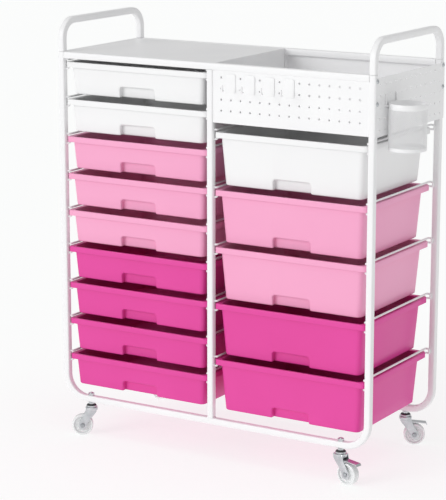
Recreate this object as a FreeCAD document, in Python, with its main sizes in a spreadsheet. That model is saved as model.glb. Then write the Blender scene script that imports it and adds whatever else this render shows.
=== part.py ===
import FreeCAD, Part

import math
import os

import Sketcher

Vector = FreeCAD.Vector
Rotation = FreeCAD.Rotation
Placement = FreeCAD.Placement

# Rolling storage cart: two welded tube frames tied together by runners, a shelf and a pegboard box,
# with nine shallow and five deep plastic drawers, two carrying handles and four swivel casters.
# Millimetres, +Z up, front towards -Y, origin on the floor under the middle of the cart.

SIZES = [
    ("column_width", 400, "clear width between the uprights of one drawer column"),
    ("cart_depth", 350, "front face of the front frame to rear face of the rear frame"),
    ("caster_rise", 32, "top of a caster wheel to the underside of the bottom rails"),
    ("tube_width", 16, "square frame tube, outside"),
    ("tube_wall", 1.2, "wall of the frame tube"),
    ("tube_corner", 2, "bevel that stands for the rounded corner of the tube"),
    ("frame_bend", 56, "centreline radius of the frames' lower corners"),
    ("handle_bend", 42, "centreline radius of the handles' corners"),
    ("handle_rise", 80, "top of the frames to the top of the handles"),
    ("spigot_length", 40, "necked end of a handle leg inside the upright"),
    ("spigot_play", 0.2, "gap between the necked end and the upright's bore"),
    ("shallow_count", 9, "drawers in the left column"),
    ("shallow_pitch", 90, "spacing of the shallow drawers"),
    ("shallow_height", 77, "height of a shallow drawer"),
    ("shallow_gap", 23, "bottom rail to the lowest shallow drawer"),
    ("deep_count", 5, "drawers in the right column"),
    ("deep_pitch", 135, "spacing of the deep drawers"),
    ("deep_height", 124, "height of a deep drawer"),
    ("deep_gap", 21, "bottom rail to the lowest deep drawer"),
    ("rail_gap", 0.3, "upper runner wire of the highest drawer to the top rail"),
    ("box_gap", 23, "highest deep drawer rim to the floor of the pegboard box"),
    ("sheet", 1, "thickness of the sheet metal"),
    ("sheet_fold", 12, "width of the folded edges of the sheets"),
    ("shelf_step", 0.5, "shelf surface below the top of the rails"),
    ("panel_setback", 3, "front panel behind the front face"),
    ("side_overlap", 2, "side panel below the floor of the box"),
    ("side_drop", 7.5, "side panel below the top of the rails"),
    ("hole_pitch", 25.4, "pegboard hole spacing"),
    ("hole_width", 5, "diameter of the pegboard holes"),
    ("front_rows", 4, "rows of holes in the front panel"),
    ("front_lift", 6.4, "rows of the front panel above its middle"),
    ("side_rows", 5, "rows of holes in the side panel"),
    ("wire", 5, "runner wire across its flats"),
    ("wire_lift", 2.7, "underside of the upper runner wire above the drawer rim"),
    ("wire_inset", 3.5, "upright's inner face to the runner wires"),
    ("wire_front", 10, "front stub of the runners behind the front face"),
    ("wire_drop", 17, "lower stub of the runners below the rim"),
    ("wire_lead", 14, "where the lower wire starts to dip, behind its stub"),
    ("hook_reach", 4, "closed end of a runner past the upright's inner face"),
    ("drawer_side_play", 0.75, "drawer lip to the upright"),
    ("drawer_rear_play", 1.6, "drawer lip to the closed end of its runners"),
    ("drawer_setback", 4, "drawer lip behind the front face"),
    ("lip_height", 13, "height of the turned-down lip"),
    ("lip_top", 2.5, "thickness of the lip's flat top"),
    ("lip_wall", 2, "thickness of the lip's skirt"),
    ("lip_corner", 4, "corner radius of the lip"),
    ("lip_side", 12, "lip beyond the drawer's body at the sides and rear"),
    ("lip_front", 5, "lip beyond the drawer's body at the front"),
    ("drawer_wall", 2, "thickness of the drawer's walls and floor"),
    ("drawer_taper", 4, "slope of the drawer's walls in degrees"),
    ("drawer_corner", 14, "corner radius of the drawer's body at the lip"),
    ("drawer_bevel", 2, "bevel round the drawer's bottom"),
    ("pull_width", 97, "width of the finger pull"),
    ("pull_height", 26, "height of the finger pull"),
    ("pull_depth", 12, "depth of the finger pull"),
    ("screw_shank", 5, "diameter of the screws"),
    ("screw_head", 11, "diameter of the screw heads"),
    ("screw_dome", 2.6, "height of the screw heads"),
    ("screw_length", 10, "length of the screws under the head"),
    ("screw_hole", 5.4, "clearance hole of the screws across its flats"),
    ("screw_high", 14, "upper screws below the top of the rails"),
    ("screw_low", 64, "lower screws below the top of the rails"),
    ("hook_plate_width", 26, "width of a peg hook's plate"),
    ("hook_plate_height", 43, "height of a peg hook's plate"),
    ("hook_plate", 2, "thickness of a peg hook's plate"),
    ("hook_rod", 5, "diameter of a peg hook's rod"),
    ("hook_length", 38, "reach of a peg hook"),
    ("hook_tip", 14, "height of a peg hook's turned-up tip"),
    ("peg_width", 4.4, "diameter of the pegs that pass through the holes"),
    ("peg_length", 7, "pegs behind the face of the panel"),
    ("cup_radius", 43, "outside radius of the pen cup"),
    ("cup_height", 105, "height of the pen cup"),
    ("cup_band", 1.2, "thickness of the cup's wall and floor"),
    ("cup_rim", 13, "height of the cup's top band, which the hanging wires meet"),
    ("cup_drop", 18, "cup rim below the row of holes that carries it"),
    ("cup_wire", 3, "diameter of the cup's hanging wires"),
    ("cup_play", 0.3, "cup to the face of the side panel"),
    ("caster_inset", 77, "caster stem from the end of the cart"),
    ("stem_width", 8, "diameter of the caster stem"),
    ("stem_hole", 8.4, "stem hole in the rails across its flats"),
    ("nut_width", 13, "caster nuts across the flats"),
    ("nut_height", 6, "height of the caster nuts"),
    ("race_radius", 13, "radius of the caster's ball race cup"),
    ("race_height", 6.5, "height of the caster's ball race cup"),
    ("race_play", 0.3, "play between the swivelling plate and the fixed cups"),
    ("rivet_radius", 7, "radius of the stem's riveted end"),
    ("rivet_height", 3, "height of the stem's riveted end"),
    ("bore_play", 0.06, "radial running clearance of the caster's bores"),
    ("wheel_radius", 26, "radius of a caster wheel"),
    ("wheel_width", 18, "width of a caster wheel"),
    ("wheel_hub", 8, "radius of the wheel's hub"),
    ("wheel_dish", 4, "depth of the wheel's dished sides"),
    ("wheel_play", 0.5, "wheel to fork leg on each side"),
    ("wheel_tread", 5, "thickness of the tread over the dished sides"),
    ("fork_plate", 3, "thickness of the fork's top plate"),
    ("fork_leg", 2, "thickness of the fork's legs"),
    ("fork_front", 13, "fork head in front of the stem"),
    ("fork_end", 8, "radius of the fork's legs round the axle"),
    ("trail", 22, "axle behind the stem"),
    ("axle_width", 6, "diameter of the axle"),
    ("axle_head", 5, "radius of the axle's heads"),
    ("axle_cap", 2.5, "height of the axle's heads"),
    ("lever_back", 4, "brake lever's pin behind the stem"),
    ("lever_lift", 6.5, "brake lever's pin above the wheel"),
    ("lever_pin", 4, "diameter of the brake lever's pin"),
    ("lever_curl", 3.4, "radius of the curl round the pin"),
    ("lever_plate", 2, "thickness of the brake lever"),
    ("lever_length", 46, "pin to the end of the brake lever"),
    ("lever_tilt", 5, "slope of the released brake lever in degrees"),
    ("lever_play", 0.8, "brake lever to fork leg on each side"),
]

# Places that follow from the sizes
GROUND_GAP = "(2 * Sizes.wheel_radius + Sizes.caster_rise)"
RAIL_TOP = "(%s + Sizes.tube_width)" % GROUND_GAP
FRAME_TOP = ("(%s + Sizes.shallow_gap + Sizes.shallow_height + (Sizes.shallow_count - 1) * Sizes.shallow_pitch"
             " + Sizes.wire_lift + Sizes.wire + Sizes.rail_gap + Sizes.tube_width)" % RAIL_TOP)
RAIL_MIDDLE = "(%s + Sizes.tube_width / 2)" % GROUND_GAP
HALF_TUBE = "(Sizes.tube_width / 2)"
HALF_WIDTH = "(Sizes.column_width + 1.5 * Sizes.tube_width)"
UPRIGHT_X = "(Sizes.column_width + Sizes.tube_width)"
HALF_DEPTH = "(Sizes.cart_depth / 2)"
UPRIGHT_Y = "(Sizes.cart_depth / 2 - Sizes.tube_width / 2)"
INNER_DEPTH = "(Sizes.cart_depth / 2 - Sizes.tube_width)"
BOX_FLOOR = ("(%s + Sizes.deep_gap + Sizes.deep_height + (Sizes.deep_count - 1) * Sizes.deep_pitch"
             " + Sizes.box_gap)" % RAIL_TOP)
COLUMN_MIDDLE = "(Sizes.column_width / 2 + Sizes.tube_width / 2)"
LIP_HALF = "(Sizes.column_width / 2 - Sizes.drawer_side_play)"
LIP_LENGTH = ("(Sizes.cart_depth - Sizes.tube_width - Sizes.wire - Sizes.drawer_rear_play"
              " - Sizes.drawer_setback)")
PLATE_TOP = "(%s - Sizes.nut_height - Sizes.race_height - Sizes.race_play)" % GROUND_GAP
FRONT_COLUMNS = "floor(Sizes.column_width / Sizes.hole_pitch)"
SIDE_COLUMNS = "floor(Sizes.cart_depth / Sizes.hole_pitch)"
FORK_HALF = "(Sizes.wheel_width / 2 + Sizes.wheel_play)"
LEVER_PIN_Z = "(2 * Sizes.wheel_radius + Sizes.lever_lift)"

OCTAGON = 8
HEXAGON = 6
CORNER_STEPS = 3
WHEELS = {"front_left": (-1, -1, 121), "front_right": (1, -1, -100),
          "rear_left": (-1, 1, 75), "rear_right": (1, 1, -60)}
BRAKED = ("front_right", "rear_right")

document = FreeCAD.newDocument("rolling_cart")
sheet = document.addObject("Spreadsheet::Sheet", "Sizes")
for row, (alias, value, meaning) in enumerate(SIZES, start=1):
    sheet.set("A%d" % row, alias)
    sheet.set("B%d" % row, str(value))
    sheet.set("C%d" % row, meaning)
    sheet.setAlias("B%d" % row, alias)
document.recompute()

subparts = []


# Helpers

def size(expression):
    """Present value of an expression on the size sheet."""
    return float(sheet.evalExpression(expression))


def new_body(name, x="0", y="0", z="0", turn=0):
    """Empty body of one sub-part, placed by expressions."""
    body = document.addObject("PartDesign::Body", name)
    body.Label = name
    body.Placement = Placement(Vector(size(x), size(y), size(z)), Rotation(Vector(0, 0, 1), turn))
    for axis, expression in zip("xyz", (x, y, z)):
        body.setExpression("Placement.Base." + axis, expression)
    subparts.append(body)
    return body


def new_sketch(body, plane, offset="0"):
    """Sketch on one of the body's origin planes, moved along the plane's normal."""
    sketch = body.newObject("Sketcher::SketchObject", "Outline")
    origin = [feature for feature in body.Origin.OriginFeatures if feature.Role == plane + "_Plane"]
    sketch.AttachmentSupport = [(origin[0], "")]
    sketch.MapMode = "FlatFace"
    sketch.AttachmentOffset = Placement(Vector(0, 0, size(offset)), Rotation())
    sketch.setExpression("AttachmentOffset.Base.z", offset)
    return sketch


def hold_point(sketch, geometry, end, place):
    """Bind one end of a sketch line to two distances from the sketch's origin."""
    for kind, expression in zip(("DistanceX", "DistanceY"), place):
        value = size(expression)
        index = sketch.addConstraint(Sketcher.Constraint(kind, -1, 1, geometry, end, value))
        sketch.setExpression("Constraints[%d]" % index, expression)


def add_polygon(sketch, corners):
    """Closed outline through corners that are pairs of expressions."""
    points = [Vector(size(across), size(up), 0) for across, up in corners]
    first = sketch.GeometryCount
    count = len(points)
    for index, point in enumerate(points):
        sketch.addGeometry(Part.LineSegment(point, points[(index + 1) % count]), False)
    for index in range(count):
        following = first + (index + 1) % count
        sketch.addConstraint(Sketcher.Constraint("Coincident", first + index, 2, following, 1))
    for index, corner in enumerate(corners):
        hold_point(sketch, first + index, 1, corner)


def add_rectangle(sketch, low_x, high_x, low_y, high_y):
    add_polygon(sketch, [(low_x, low_y), (high_x, low_y), (high_x, high_y), (low_x, high_y)])


def add_ngon(sketch, sides, x, y, across_flats):
    """Regular polygon with a flat towards each sketch axis where the sides allow it."""
    reach = "(%s) / 2 / cos(180deg / %d)" % (across_flats, sides)
    corners = []
    for index in range(sides):
        angle = "%gdeg" % ((index + 0.5) * 360 / sides)
        corners.append(("%s + %s * cos(%s)" % (x, reach, angle),
                        "%s + %s * sin(%s)" % (y, reach, angle)))
    add_polygon(sketch, corners)


def add_rounded_rectangle(sketch, half, low_y, high_y, radius):
    """Rectangle centred across the sketch, each corner turned in equal flat steps."""
    corners = []
    for quarter in range(4):
        side = 1 if quarter in (0, 3) else -1
        centre_x = "%d * (%s - %s)" % (side, half, radius)
        centre_y = "%s - %s" % (high_y, radius) if quarter < 2 else "%s + %s" % (low_y, radius)
        for step in range(CORNER_STEPS + 1):
            angle = "%gdeg" % (90 * (quarter + step / CORNER_STEPS))
            corners.append(("%s + %s * cos(%s)" % (centre_x, radius, angle),
                            "%s + %s * sin(%s)" % (centre_y, radius, angle)))
    add_polygon(sketch, corners)


def add_circle(sketch, x, y, radius):
    """Circle bound by its centre and radius."""
    centre = Vector(size(x), size(y), 0)
    index = sketch.addGeometry(Part.Circle(centre, Vector(0, 0, 1), size(radius)), False)
    hold_point(sketch, index, 3, (x, y))
    rule = sketch.addConstraint(Sketcher.Constraint("Radius", index, size(radius)))
    sketch.setExpression("Constraints[%d]" % rule, radius)


def add_feature(body, kind, sketch, length, reverse=False, taper=None):
    """Pad or pocket whose length, and taper if any, are bound to expressions."""
    document.recompute()
    feature = body.newObject("PartDesign::" + kind, kind)
    feature.Profile = sketch
    feature.Length = size(length)
    feature.setExpression("Length", length)
    feature.Reversed = reverse
    if taper is not None:
        feature.setExpression("TaperAngle", taper)
    document.recompute()
    return feature


def pad(body, sketch, length, reverse=False, taper=None):
    return add_feature(body, "Pad", sketch, length, reverse, taper)


def pocket(body, sketch, length, reverse=False, taper=None):
    """Pocket that must take material away."""
    before = body.Shape.Volume
    feature = add_feature(body, "Pocket", sketch, length, reverse, taper)
    if feature.Shape.Volume >= before:
        raise ValueError("pocket cut nothing in " + body.Label)
    return feature


def revolve(body, sketch, axis="V_Axis"):
    document.recompute()
    feature = body.newObject("PartDesign::Revolution", "Turned")
    feature.Profile = sketch
    feature.ReferenceAxis = (sketch, [axis])
    feature.Angle = 360
    document.recompute()
    return feature


def level_edges(feature, high, low):
    """Names of the straight edges that run from one height to another."""
    names = []
    for index, edge in enumerate(feature.Shape.Edges, start=1):
        box = edge.BoundBox
        if abs(box.ZMax - high) < 0.01 and abs(box.ZMin - low) < 0.01 and edge.Length > 0.1:
            names.append("Edge%d" % index)
    return names


def dress(body, kind, feature, names, prop, expression):
    """Fillet or chamfer on named edges."""
    rounding = body.newObject("PartDesign::" + kind, kind)
    rounding.Base = (feature, names)
    rounding.setExpression(prop, expression)
    document.recompute()
    return rounding


def grid(body, cut, sketch, columns, rows):
    """Rectangular pattern of one hole at the pegboard pitch."""
    pattern = body.newObject("PartDesign::LinearPattern", "Grid")
    pattern.Originals = [cut]
    pattern.Direction = (sketch, ["H_Axis"])
    pattern.Direction2 = (sketch, ["V_Axis"])
    pattern.setExpression("Occurrences", columns)
    pattern.setExpression("Length", "(%s - 1) * Sizes.hole_pitch" % columns)
    pattern.setExpression("Occurrences2", rows)
    pattern.setExpression("Length2", "(%s - 1) * Sizes.hole_pitch" % rows)
    body.Tip = pattern
    document.recompute()
    return pattern


def tube_section(sketch, x, y):
    """Hollow square section with bevelled corners."""
    half = size(HALF_TUBE)
    if half <= size("Sizes.tube_corner"):
        raise ValueError("tube corner is larger than the tube")
    reach = HALF_TUBE
    flat = "(Sizes.tube_width / 2 - Sizes.tube_corner)"
    turns = [(-1, -1, flat, reach), (1, -1, flat, reach), (1, -1, reach, flat), (1, 1, reach, flat),
             (1, 1, flat, reach), (-1, 1, flat, reach), (-1, 1, reach, flat), (-1, -1, reach, flat)]
    add_polygon(sketch, [("%s + %d * %s" % (x, sign_x, across), "%s + %d * %s" % (y, sign_y, up))
                         for sign_x, sign_y, across, up in turns])
    bore = "(Sizes.tube_width / 2 - Sizes.tube_wall)"
    add_rectangle(sketch, "%s - %s" % (x, bore), "%s + %s" % (x, bore),
                  "%s - %s" % (y, bore), "%s + %s" % (y, bore))


def add_arc(sketch, centre, start_angle, before, after, radius):
    """Quarter bend between two path lines, held by its ends and radius."""
    circle = Part.Circle(Vector(centre[0], centre[1], 0), Vector(0, 0, 1), size(radius))
    index = sketch.addGeometry(Part.ArcOfCircle(circle, start_angle, start_angle + math.pi / 2), False)
    sketch.addConstraint(Sketcher.Constraint("Coincident", index, 1, before[0], before[1]))
    sketch.addConstraint(Sketcher.Constraint("Coincident", index, 2, after[0], after[1]))
    rule = sketch.addConstraint(Sketcher.Constraint("Radius", index, size(radius)))
    sketch.setExpression("Constraints[%d]" % rule, radius)


def add_path_line(sketch, start, end):
    line = Part.LineSegment(Vector(size(start[0]), size(start[1]), 0),
                            Vector(size(end[0]), size(end[1]), 0))
    index = sketch.addGeometry(line, False)
    hold_point(sketch, index, 1, start)
    hold_point(sketch, index, 2, end)
    return index


def u_tube(body, plane, offset, reach, leg_end, bar, bend, upward):
    """Square tube bent to a U: two upright legs and a level bar joined by quarter bends."""
    path = new_sketch(body, plane, offset)
    side = "+" if upward else "-"
    turn = "(%s %s %s)" % (bar, side, bend)
    left = add_path_line(path, ("-" + reach, leg_end), ("-" + reach, turn))
    right = add_path_line(path, (reach, turn), (reach, leg_end))
    level = add_path_line(path, ("-%s + %s" % (reach, bend), bar), ("%s - %s" % (reach, bend), bar))
    centre_x = size(reach) - size(bend)
    centre_y = size(turn)
    if upward:
        add_arc(path, (-centre_x, centre_y), math.pi, (left, 2), (level, 1), bend)
        add_arc(path, (centre_x, centre_y), 1.5 * math.pi, (level, 2), (right, 1), bend)
    else:
        add_arc(path, (-centre_x, centre_y), 0.5 * math.pi, (level, 1), (left, 2), bend)
        add_arc(path, (centre_x, centre_y), 0, (right, 1), (level, 2), bend)
    section = new_sketch(body, "XY", leg_end)
    if plane == "XZ":
        tube_section(section, "-" + reach, "-1 * (%s)" % offset)
    else:
        tube_section(section, offset, "-" + reach)
    document.recompute()
    tube = body.newObject("PartDesign::AdditivePipe", "Bent")
    tube.Profile = section
    tube.Spine = (path, [])
    document.recompute()
    return tube


# Frames

def frame_tube(name, side):
    """One frame: left upright, bottom rail and right upright bent from a single tube."""
    body = new_body(name)
    u_tube(body, "XZ", "%d * %s" % (-side, UPRIGHT_Y), UPRIGHT_X, FRAME_TOP, RAIL_MIDDLE,
           "Sizes.frame_bend", True)
    holes = new_sketch(body, "XY", RAIL_TOP)
    for end in (-1, 1):
        add_ngon(holes, OCTAGON, "%d * (%s - Sizes.caster_inset)" % (end, HALF_WIDTH),
                 "%d * %s" % (side, UPRIGHT_Y), "Sizes.stem_hole")
    pocket(body, holes, "Sizes.tube_width")
    y = "%d * %s" % (side, UPRIGHT_Y)
    high = "(%s - Sizes.screw_high)" % FRAME_TOP
    low = "(%s - Sizes.screw_low)" % FRAME_TOP
    right = new_sketch(body, "YZ", HALF_WIDTH)
    add_ngon(right, OCTAGON, y, high, "Sizes.screw_hole")
    add_ngon(right, OCTAGON, y, low, "Sizes.screw_hole")
    pocket(body, right, "2 * Sizes.tube_wall")
    left = new_sketch(body, "YZ", "-" + HALF_WIDTH)
    add_ngon(left, OCTAGON, y, high, "Sizes.screw_hole")
    pocket(body, left, "2 * Sizes.tube_wall", reverse=True)
    return body


def top_rail(name, side):
    """Straight tube between the tops of the two uprights."""
    body = new_body(name)
    section = new_sketch(body, "YZ", "-%s + %s" % (UPRIGHT_X, HALF_TUBE))
    tube_section(section, "%d * %s" % (side, UPRIGHT_Y), "%s - %s" % (FRAME_TOP, HALF_TUBE))
    pad(body, section, "2 * (%s - %s)" % (UPRIGHT_X, HALF_TUBE))
    return body


def centre_post(name, side):
    """Upright between the bottom rail and the top rail."""
    body = new_body(name)
    section = new_sketch(body, "XY", RAIL_TOP)
    tube_section(section, "0", "%d * %s" % (side, UPRIGHT_Y))
    pad(body, section, "%s - Sizes.tube_width - %s" % (FRAME_TOP, RAIL_TOP))
    return body


def handle(name, side):
    """Bent handle whose necked ends plug into the front and rear uprights."""
    body = new_body(name)
    x = "%d * %s" % (side, UPRIGHT_X)
    bar = "(%s + Sizes.handle_rise - %s)" % (FRAME_TOP, HALF_TUBE)
    u_tube(body, "YZ", x, UPRIGHT_Y, FRAME_TOP, bar, "Sizes.handle_bend", False)
    bore = "(Sizes.tube_width / 2 - Sizes.tube_wall)"
    neck = "(%s - Sizes.spigot_play)" % bore
    hollow = "(%s - Sizes.tube_wall)" % neck
    shoulder = "(%s + Sizes.tube_wall / 2)" % bore
    for outer, length, downward in ((shoulder, "2 * Sizes.tube_wall", False),
                                    (neck, "Sizes.spigot_length", True)):
        rings = new_sketch(body, "XY", FRAME_TOP)
        for end in (-1, 1):
            y = "%d * %s" % (end, UPRIGHT_Y)
            for half in (outer, hollow):
                add_rectangle(rings, "%s - %s" % (x, half), "%s + %s" % (x, half),
                              "%s - %s" % (y, half), "%s + %s" % (y, half))
        pad(body, rings, length, reverse=downward)
    holes = new_sketch(body, "YZ", "%s + %d * %s" % (x, side, HALF_TUBE))
    for end in (-1, 1):
        add_ngon(holes, OCTAGON, "%d * %s" % (end, UPRIGHT_Y), "%s - Sizes.screw_high" % FRAME_TOP,
                 "Sizes.screw_hole")
    pocket(body, holes, "2 * Sizes.tube_wall + 2 * Sizes.spigot_play", reverse=side < 0)
    return body


# Shelf and pegboard box

def hollow_tray(body, low_x, high_x, top, downward):
    """Sheet tray between the front and rear rails, its four edges folded one way."""
    outline = new_sketch(body, "XY", top)
    add_rectangle(outline, low_x, high_x, "-" + INNER_DEPTH, INNER_DEPTH)
    pad(body, outline, "Sizes.sheet_fold", reverse=downward)
    inside = "%s - Sizes.sheet" % top if downward else "%s + Sizes.sheet" % top
    hollow = new_sketch(body, "XY", inside)
    add_rectangle(hollow, low_x + " + Sizes.sheet", high_x + " - Sizes.sheet",
                  "-%s + Sizes.sheet" % INNER_DEPTH, "%s - Sizes.sheet" % INNER_DEPTH)
    pocket(body, hollow, "Sizes.sheet_fold", reverse=not downward)
    return body


def top_shelf(name):
    """Shelf over the left column, flush with the rails and folded down at its edges."""
    body = new_body(name)
    return hollow_tray(body, "-" + HALF_WIDTH, "(%s - Sizes.sheet)" % HALF_TUBE,
                       "(%s - Sizes.shelf_step)" % FRAME_TOP, True)


def box_floor(name):
    """Floor of the pegboard box, folded up at its edges."""
    body = new_body(name)
    return hollow_tray(body, HALF_TUBE, HALF_WIDTH, BOX_FLOOR, False)


def box_divider(name):
    """Sheet between the shelf and the box, from the box floor to the shelf."""
    body = new_body(name)
    outline = new_sketch(body, "YZ", HALF_TUBE)
    add_rectangle(outline, "-" + INNER_DEPTH, INNER_DEPTH, BOX_FLOOR,
                  "%s - Sizes.shelf_step" % FRAME_TOP)
    pad(body, outline, "Sizes.sheet", reverse=True)
    return body


def upright_panel(body, side, face):
    """Sheet between the centre post and the right upright, folded inwards at both ends."""
    sheet_outline = new_sketch(body, "XZ", "-1 * (%s)" % face)
    low = HALF_TUBE
    high = "(%s - %s)" % (UPRIGHT_X, HALF_TUBE)
    rail = "%s - Sizes.tube_width" % FRAME_TOP
    add_rectangle(sheet_outline, low, high, BOX_FLOOR, rail)
    pad(body, sheet_outline, "Sizes.sheet_fold", reverse=side < 0)
    hollow = new_sketch(body, "XZ", "-1 * (%s + %d * Sizes.sheet)" % (face, -side))
    add_rectangle(hollow, low + " + Sizes.sheet", high + " - Sizes.sheet",
                  BOX_FLOOR + " - Sizes.sheet", rail + " + Sizes.sheet")
    pocket(body, hollow, "Sizes.sheet_fold", reverse=side > 0)
    return body


def front_pegboard(name):
    """Front panel of the box with its grid of holes."""
    body = new_body(name)
    face = "(-%s + Sizes.panel_setback)" % HALF_DEPTH
    upright_panel(body, -1, face)
    middle = "((%s + %s - Sizes.tube_width) / 2 + Sizes.front_lift)" % (BOX_FLOOR, FRAME_TOP)
    hole = new_sketch(body, "XZ", "-1 * (%s)" % face)
    add_circle(hole, "%s - (%s - 1) / 2 * Sizes.hole_pitch" % (COLUMN_MIDDLE, FRONT_COLUMNS),
               "%s - (Sizes.front_rows - 1) / 2 * Sizes.hole_pitch" % middle, "Sizes.hole_width / 2")
    cut = pocket(body, hole, "2 * Sizes.sheet", reverse=False)
    grid(body, cut, hole, FRONT_COLUMNS, "Sizes.front_rows")
    return body


def side_pegboard(name):
    """Flat side panel screwed to the outside of the right uprights."""
    body = new_body(name)
    outline = new_sketch(body, "YZ", HALF_WIDTH)
    bottom = "(%s - Sizes.side_overlap)" % BOX_FLOOR
    top = "(%s - Sizes.side_drop)" % FRAME_TOP
    add_rectangle(outline, "-" + HALF_DEPTH, HALF_DEPTH, bottom, top)
    for end in (-1, 1):
        for drop in ("Sizes.screw_high", "Sizes.screw_low"):
            add_ngon(outline, OCTAGON, "%d * %s" % (end, UPRIGHT_Y), "%s - %s" % (FRAME_TOP, drop),
                     "Sizes.screw_hole")
    pad(body, outline, "Sizes.sheet")
    hole = new_sketch(body, "YZ", "%s + Sizes.sheet" % HALF_WIDTH)
    add_circle(hole, "-1 * (%s - 1) / 2 * Sizes.hole_pitch" % SIDE_COLUMNS,
               "(%s + %s) / 2 - (Sizes.side_rows - 1) / 2 * Sizes.hole_pitch" % (bottom, top),
               "Sizes.hole_width / 2")
    cut = pocket(body, hole, "2 * Sizes.sheet")
    grid(body, cut, hole, SIDE_COLUMNS, "Sizes.side_rows")
    return body


def box_back_panel(name):
    """Plain rear panel of the box."""
    body = new_body(name)
    return upright_panel(body, 1, "(%s - Sizes.panel_setback)" % HALF_DEPTH)


# Fasteners of the box and handles

def screw(body, sign, x, y, z):
    """Domed screw turned about an axis along X, its head outside the sheet or tube."""
    outline = new_sketch(body, "XZ", "-1 * (%s)" % y)
    out = "%s + %d * " % (x, sign)
    shank = "Sizes.screw_shank / 2"
    head = "Sizes.screw_head / 2"
    corners = [("%s(-1 * Sizes.screw_length)" % out, z),
               ("%s(-1 * Sizes.screw_length)" % out, "%s + %s" % (z, shank)),
               (x, "%s + %s" % (z, shank)),
               (x, "%s + %s" % (z, head)),
               ("%sSizes.screw_dome" % out, "%s + %s" % (z, head)),
               ("%sSizes.screw_dome" % out, z)]
    add_polygon(outline, corners)
    document.recompute()
    turned = body.newObject("PartDesign::Revolution", "Turned")
    turned.Profile = outline
    turned.ReferenceAxis = (outline, ["Edge%d" % len(corners)])
    turned.Angle = 360
    document.recompute()
    return turned


def screws(name, sign, x, heights):
    """Screws through the front and rear upright of one side."""
    body = new_body(name)
    for end in (-1, 1):
        for drop in heights:
            screw(body, sign, x, "%d * %s" % (end, UPRIGHT_Y), "(%s - %s)" % (FRAME_TOP, drop))
    return body


# Runners

def bent_wire(points, width):
    """Wire of hexagonal section swept along straight runs with mitred corners."""
    spine = Part.makePolygon(points)
    start = points[0]
    ahead = (points[1] - points[0]).normalize()
    across = Vector(0, 0, 1) if abs(ahead.z) < 0.5 else Vector(0, 1, 0)
    beside = ahead.cross(across)
    reach = width / 2 / math.cos(math.pi / HEXAGON)
    corners = []
    for index in range(HEXAGON + 1):
        angle = 2 * math.pi * index / HEXAGON
        corners.append(start + across * (reach * math.sin(angle)) + beside * (reach * math.cos(angle)))
    bar = spine.makePipeShell([Part.makePolygon(corners)], True, False, 1)
    return Part.Solid(Part.Shell(bar.Faces)) if bar.ShapeType != "Solid" else bar


def runner(face_x, inward, rim_z):
    """One closed runner: upper wire, looped rear end, lower wire and its dipped front stub."""
    wire = size("Sizes.wire")
    inside = face_x + inward * size("Sizes.wire_inset + Sizes.wire / 2")
    hook = face_x - inward * size("Sizes.hook_reach")
    front = size("-%s + Sizes.wire_front" % HALF_DEPTH)
    rear = size("%s - Sizes.wire / 2 / cos(180deg / %d)" % (INNER_DEPTH, HEXAGON))
    upper = rim_z + size("Sizes.wire_lift + Sizes.wire / 2")
    lower = rim_z - size("Sizes.lip_top + Sizes.race_play + Sizes.wire / 2")
    dip = rim_z - size("Sizes.wire_drop")
    lead = front + size("Sizes.wire_lead")
    points = [(face_x, front, upper), (inside, front, upper), (inside, rear, upper),
              (hook, rear, upper), (hook, rear, lower), (inside, rear, lower),
              (inside, lead, lower), (inside, front, dip), (face_x, front, dip)]
    return bent_wire([Vector(*point) for point in points], wire)


def runner_group(name, face_x, inward, lowest, count, pitch):
    """All runners on one side of a column, one under each drawer rim."""
    bars = [runner(size(face_x), inward, size(lowest) + index * size(pitch))
            for index in range(int(size(count)))]
    group = document.addObject("Part::Feature", name)
    group.Label = name
    group.Shape = Part.makeCompound(bars)
    group.Placement = Placement()
    subparts.append(group)
    return group


# Drawers

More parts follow.
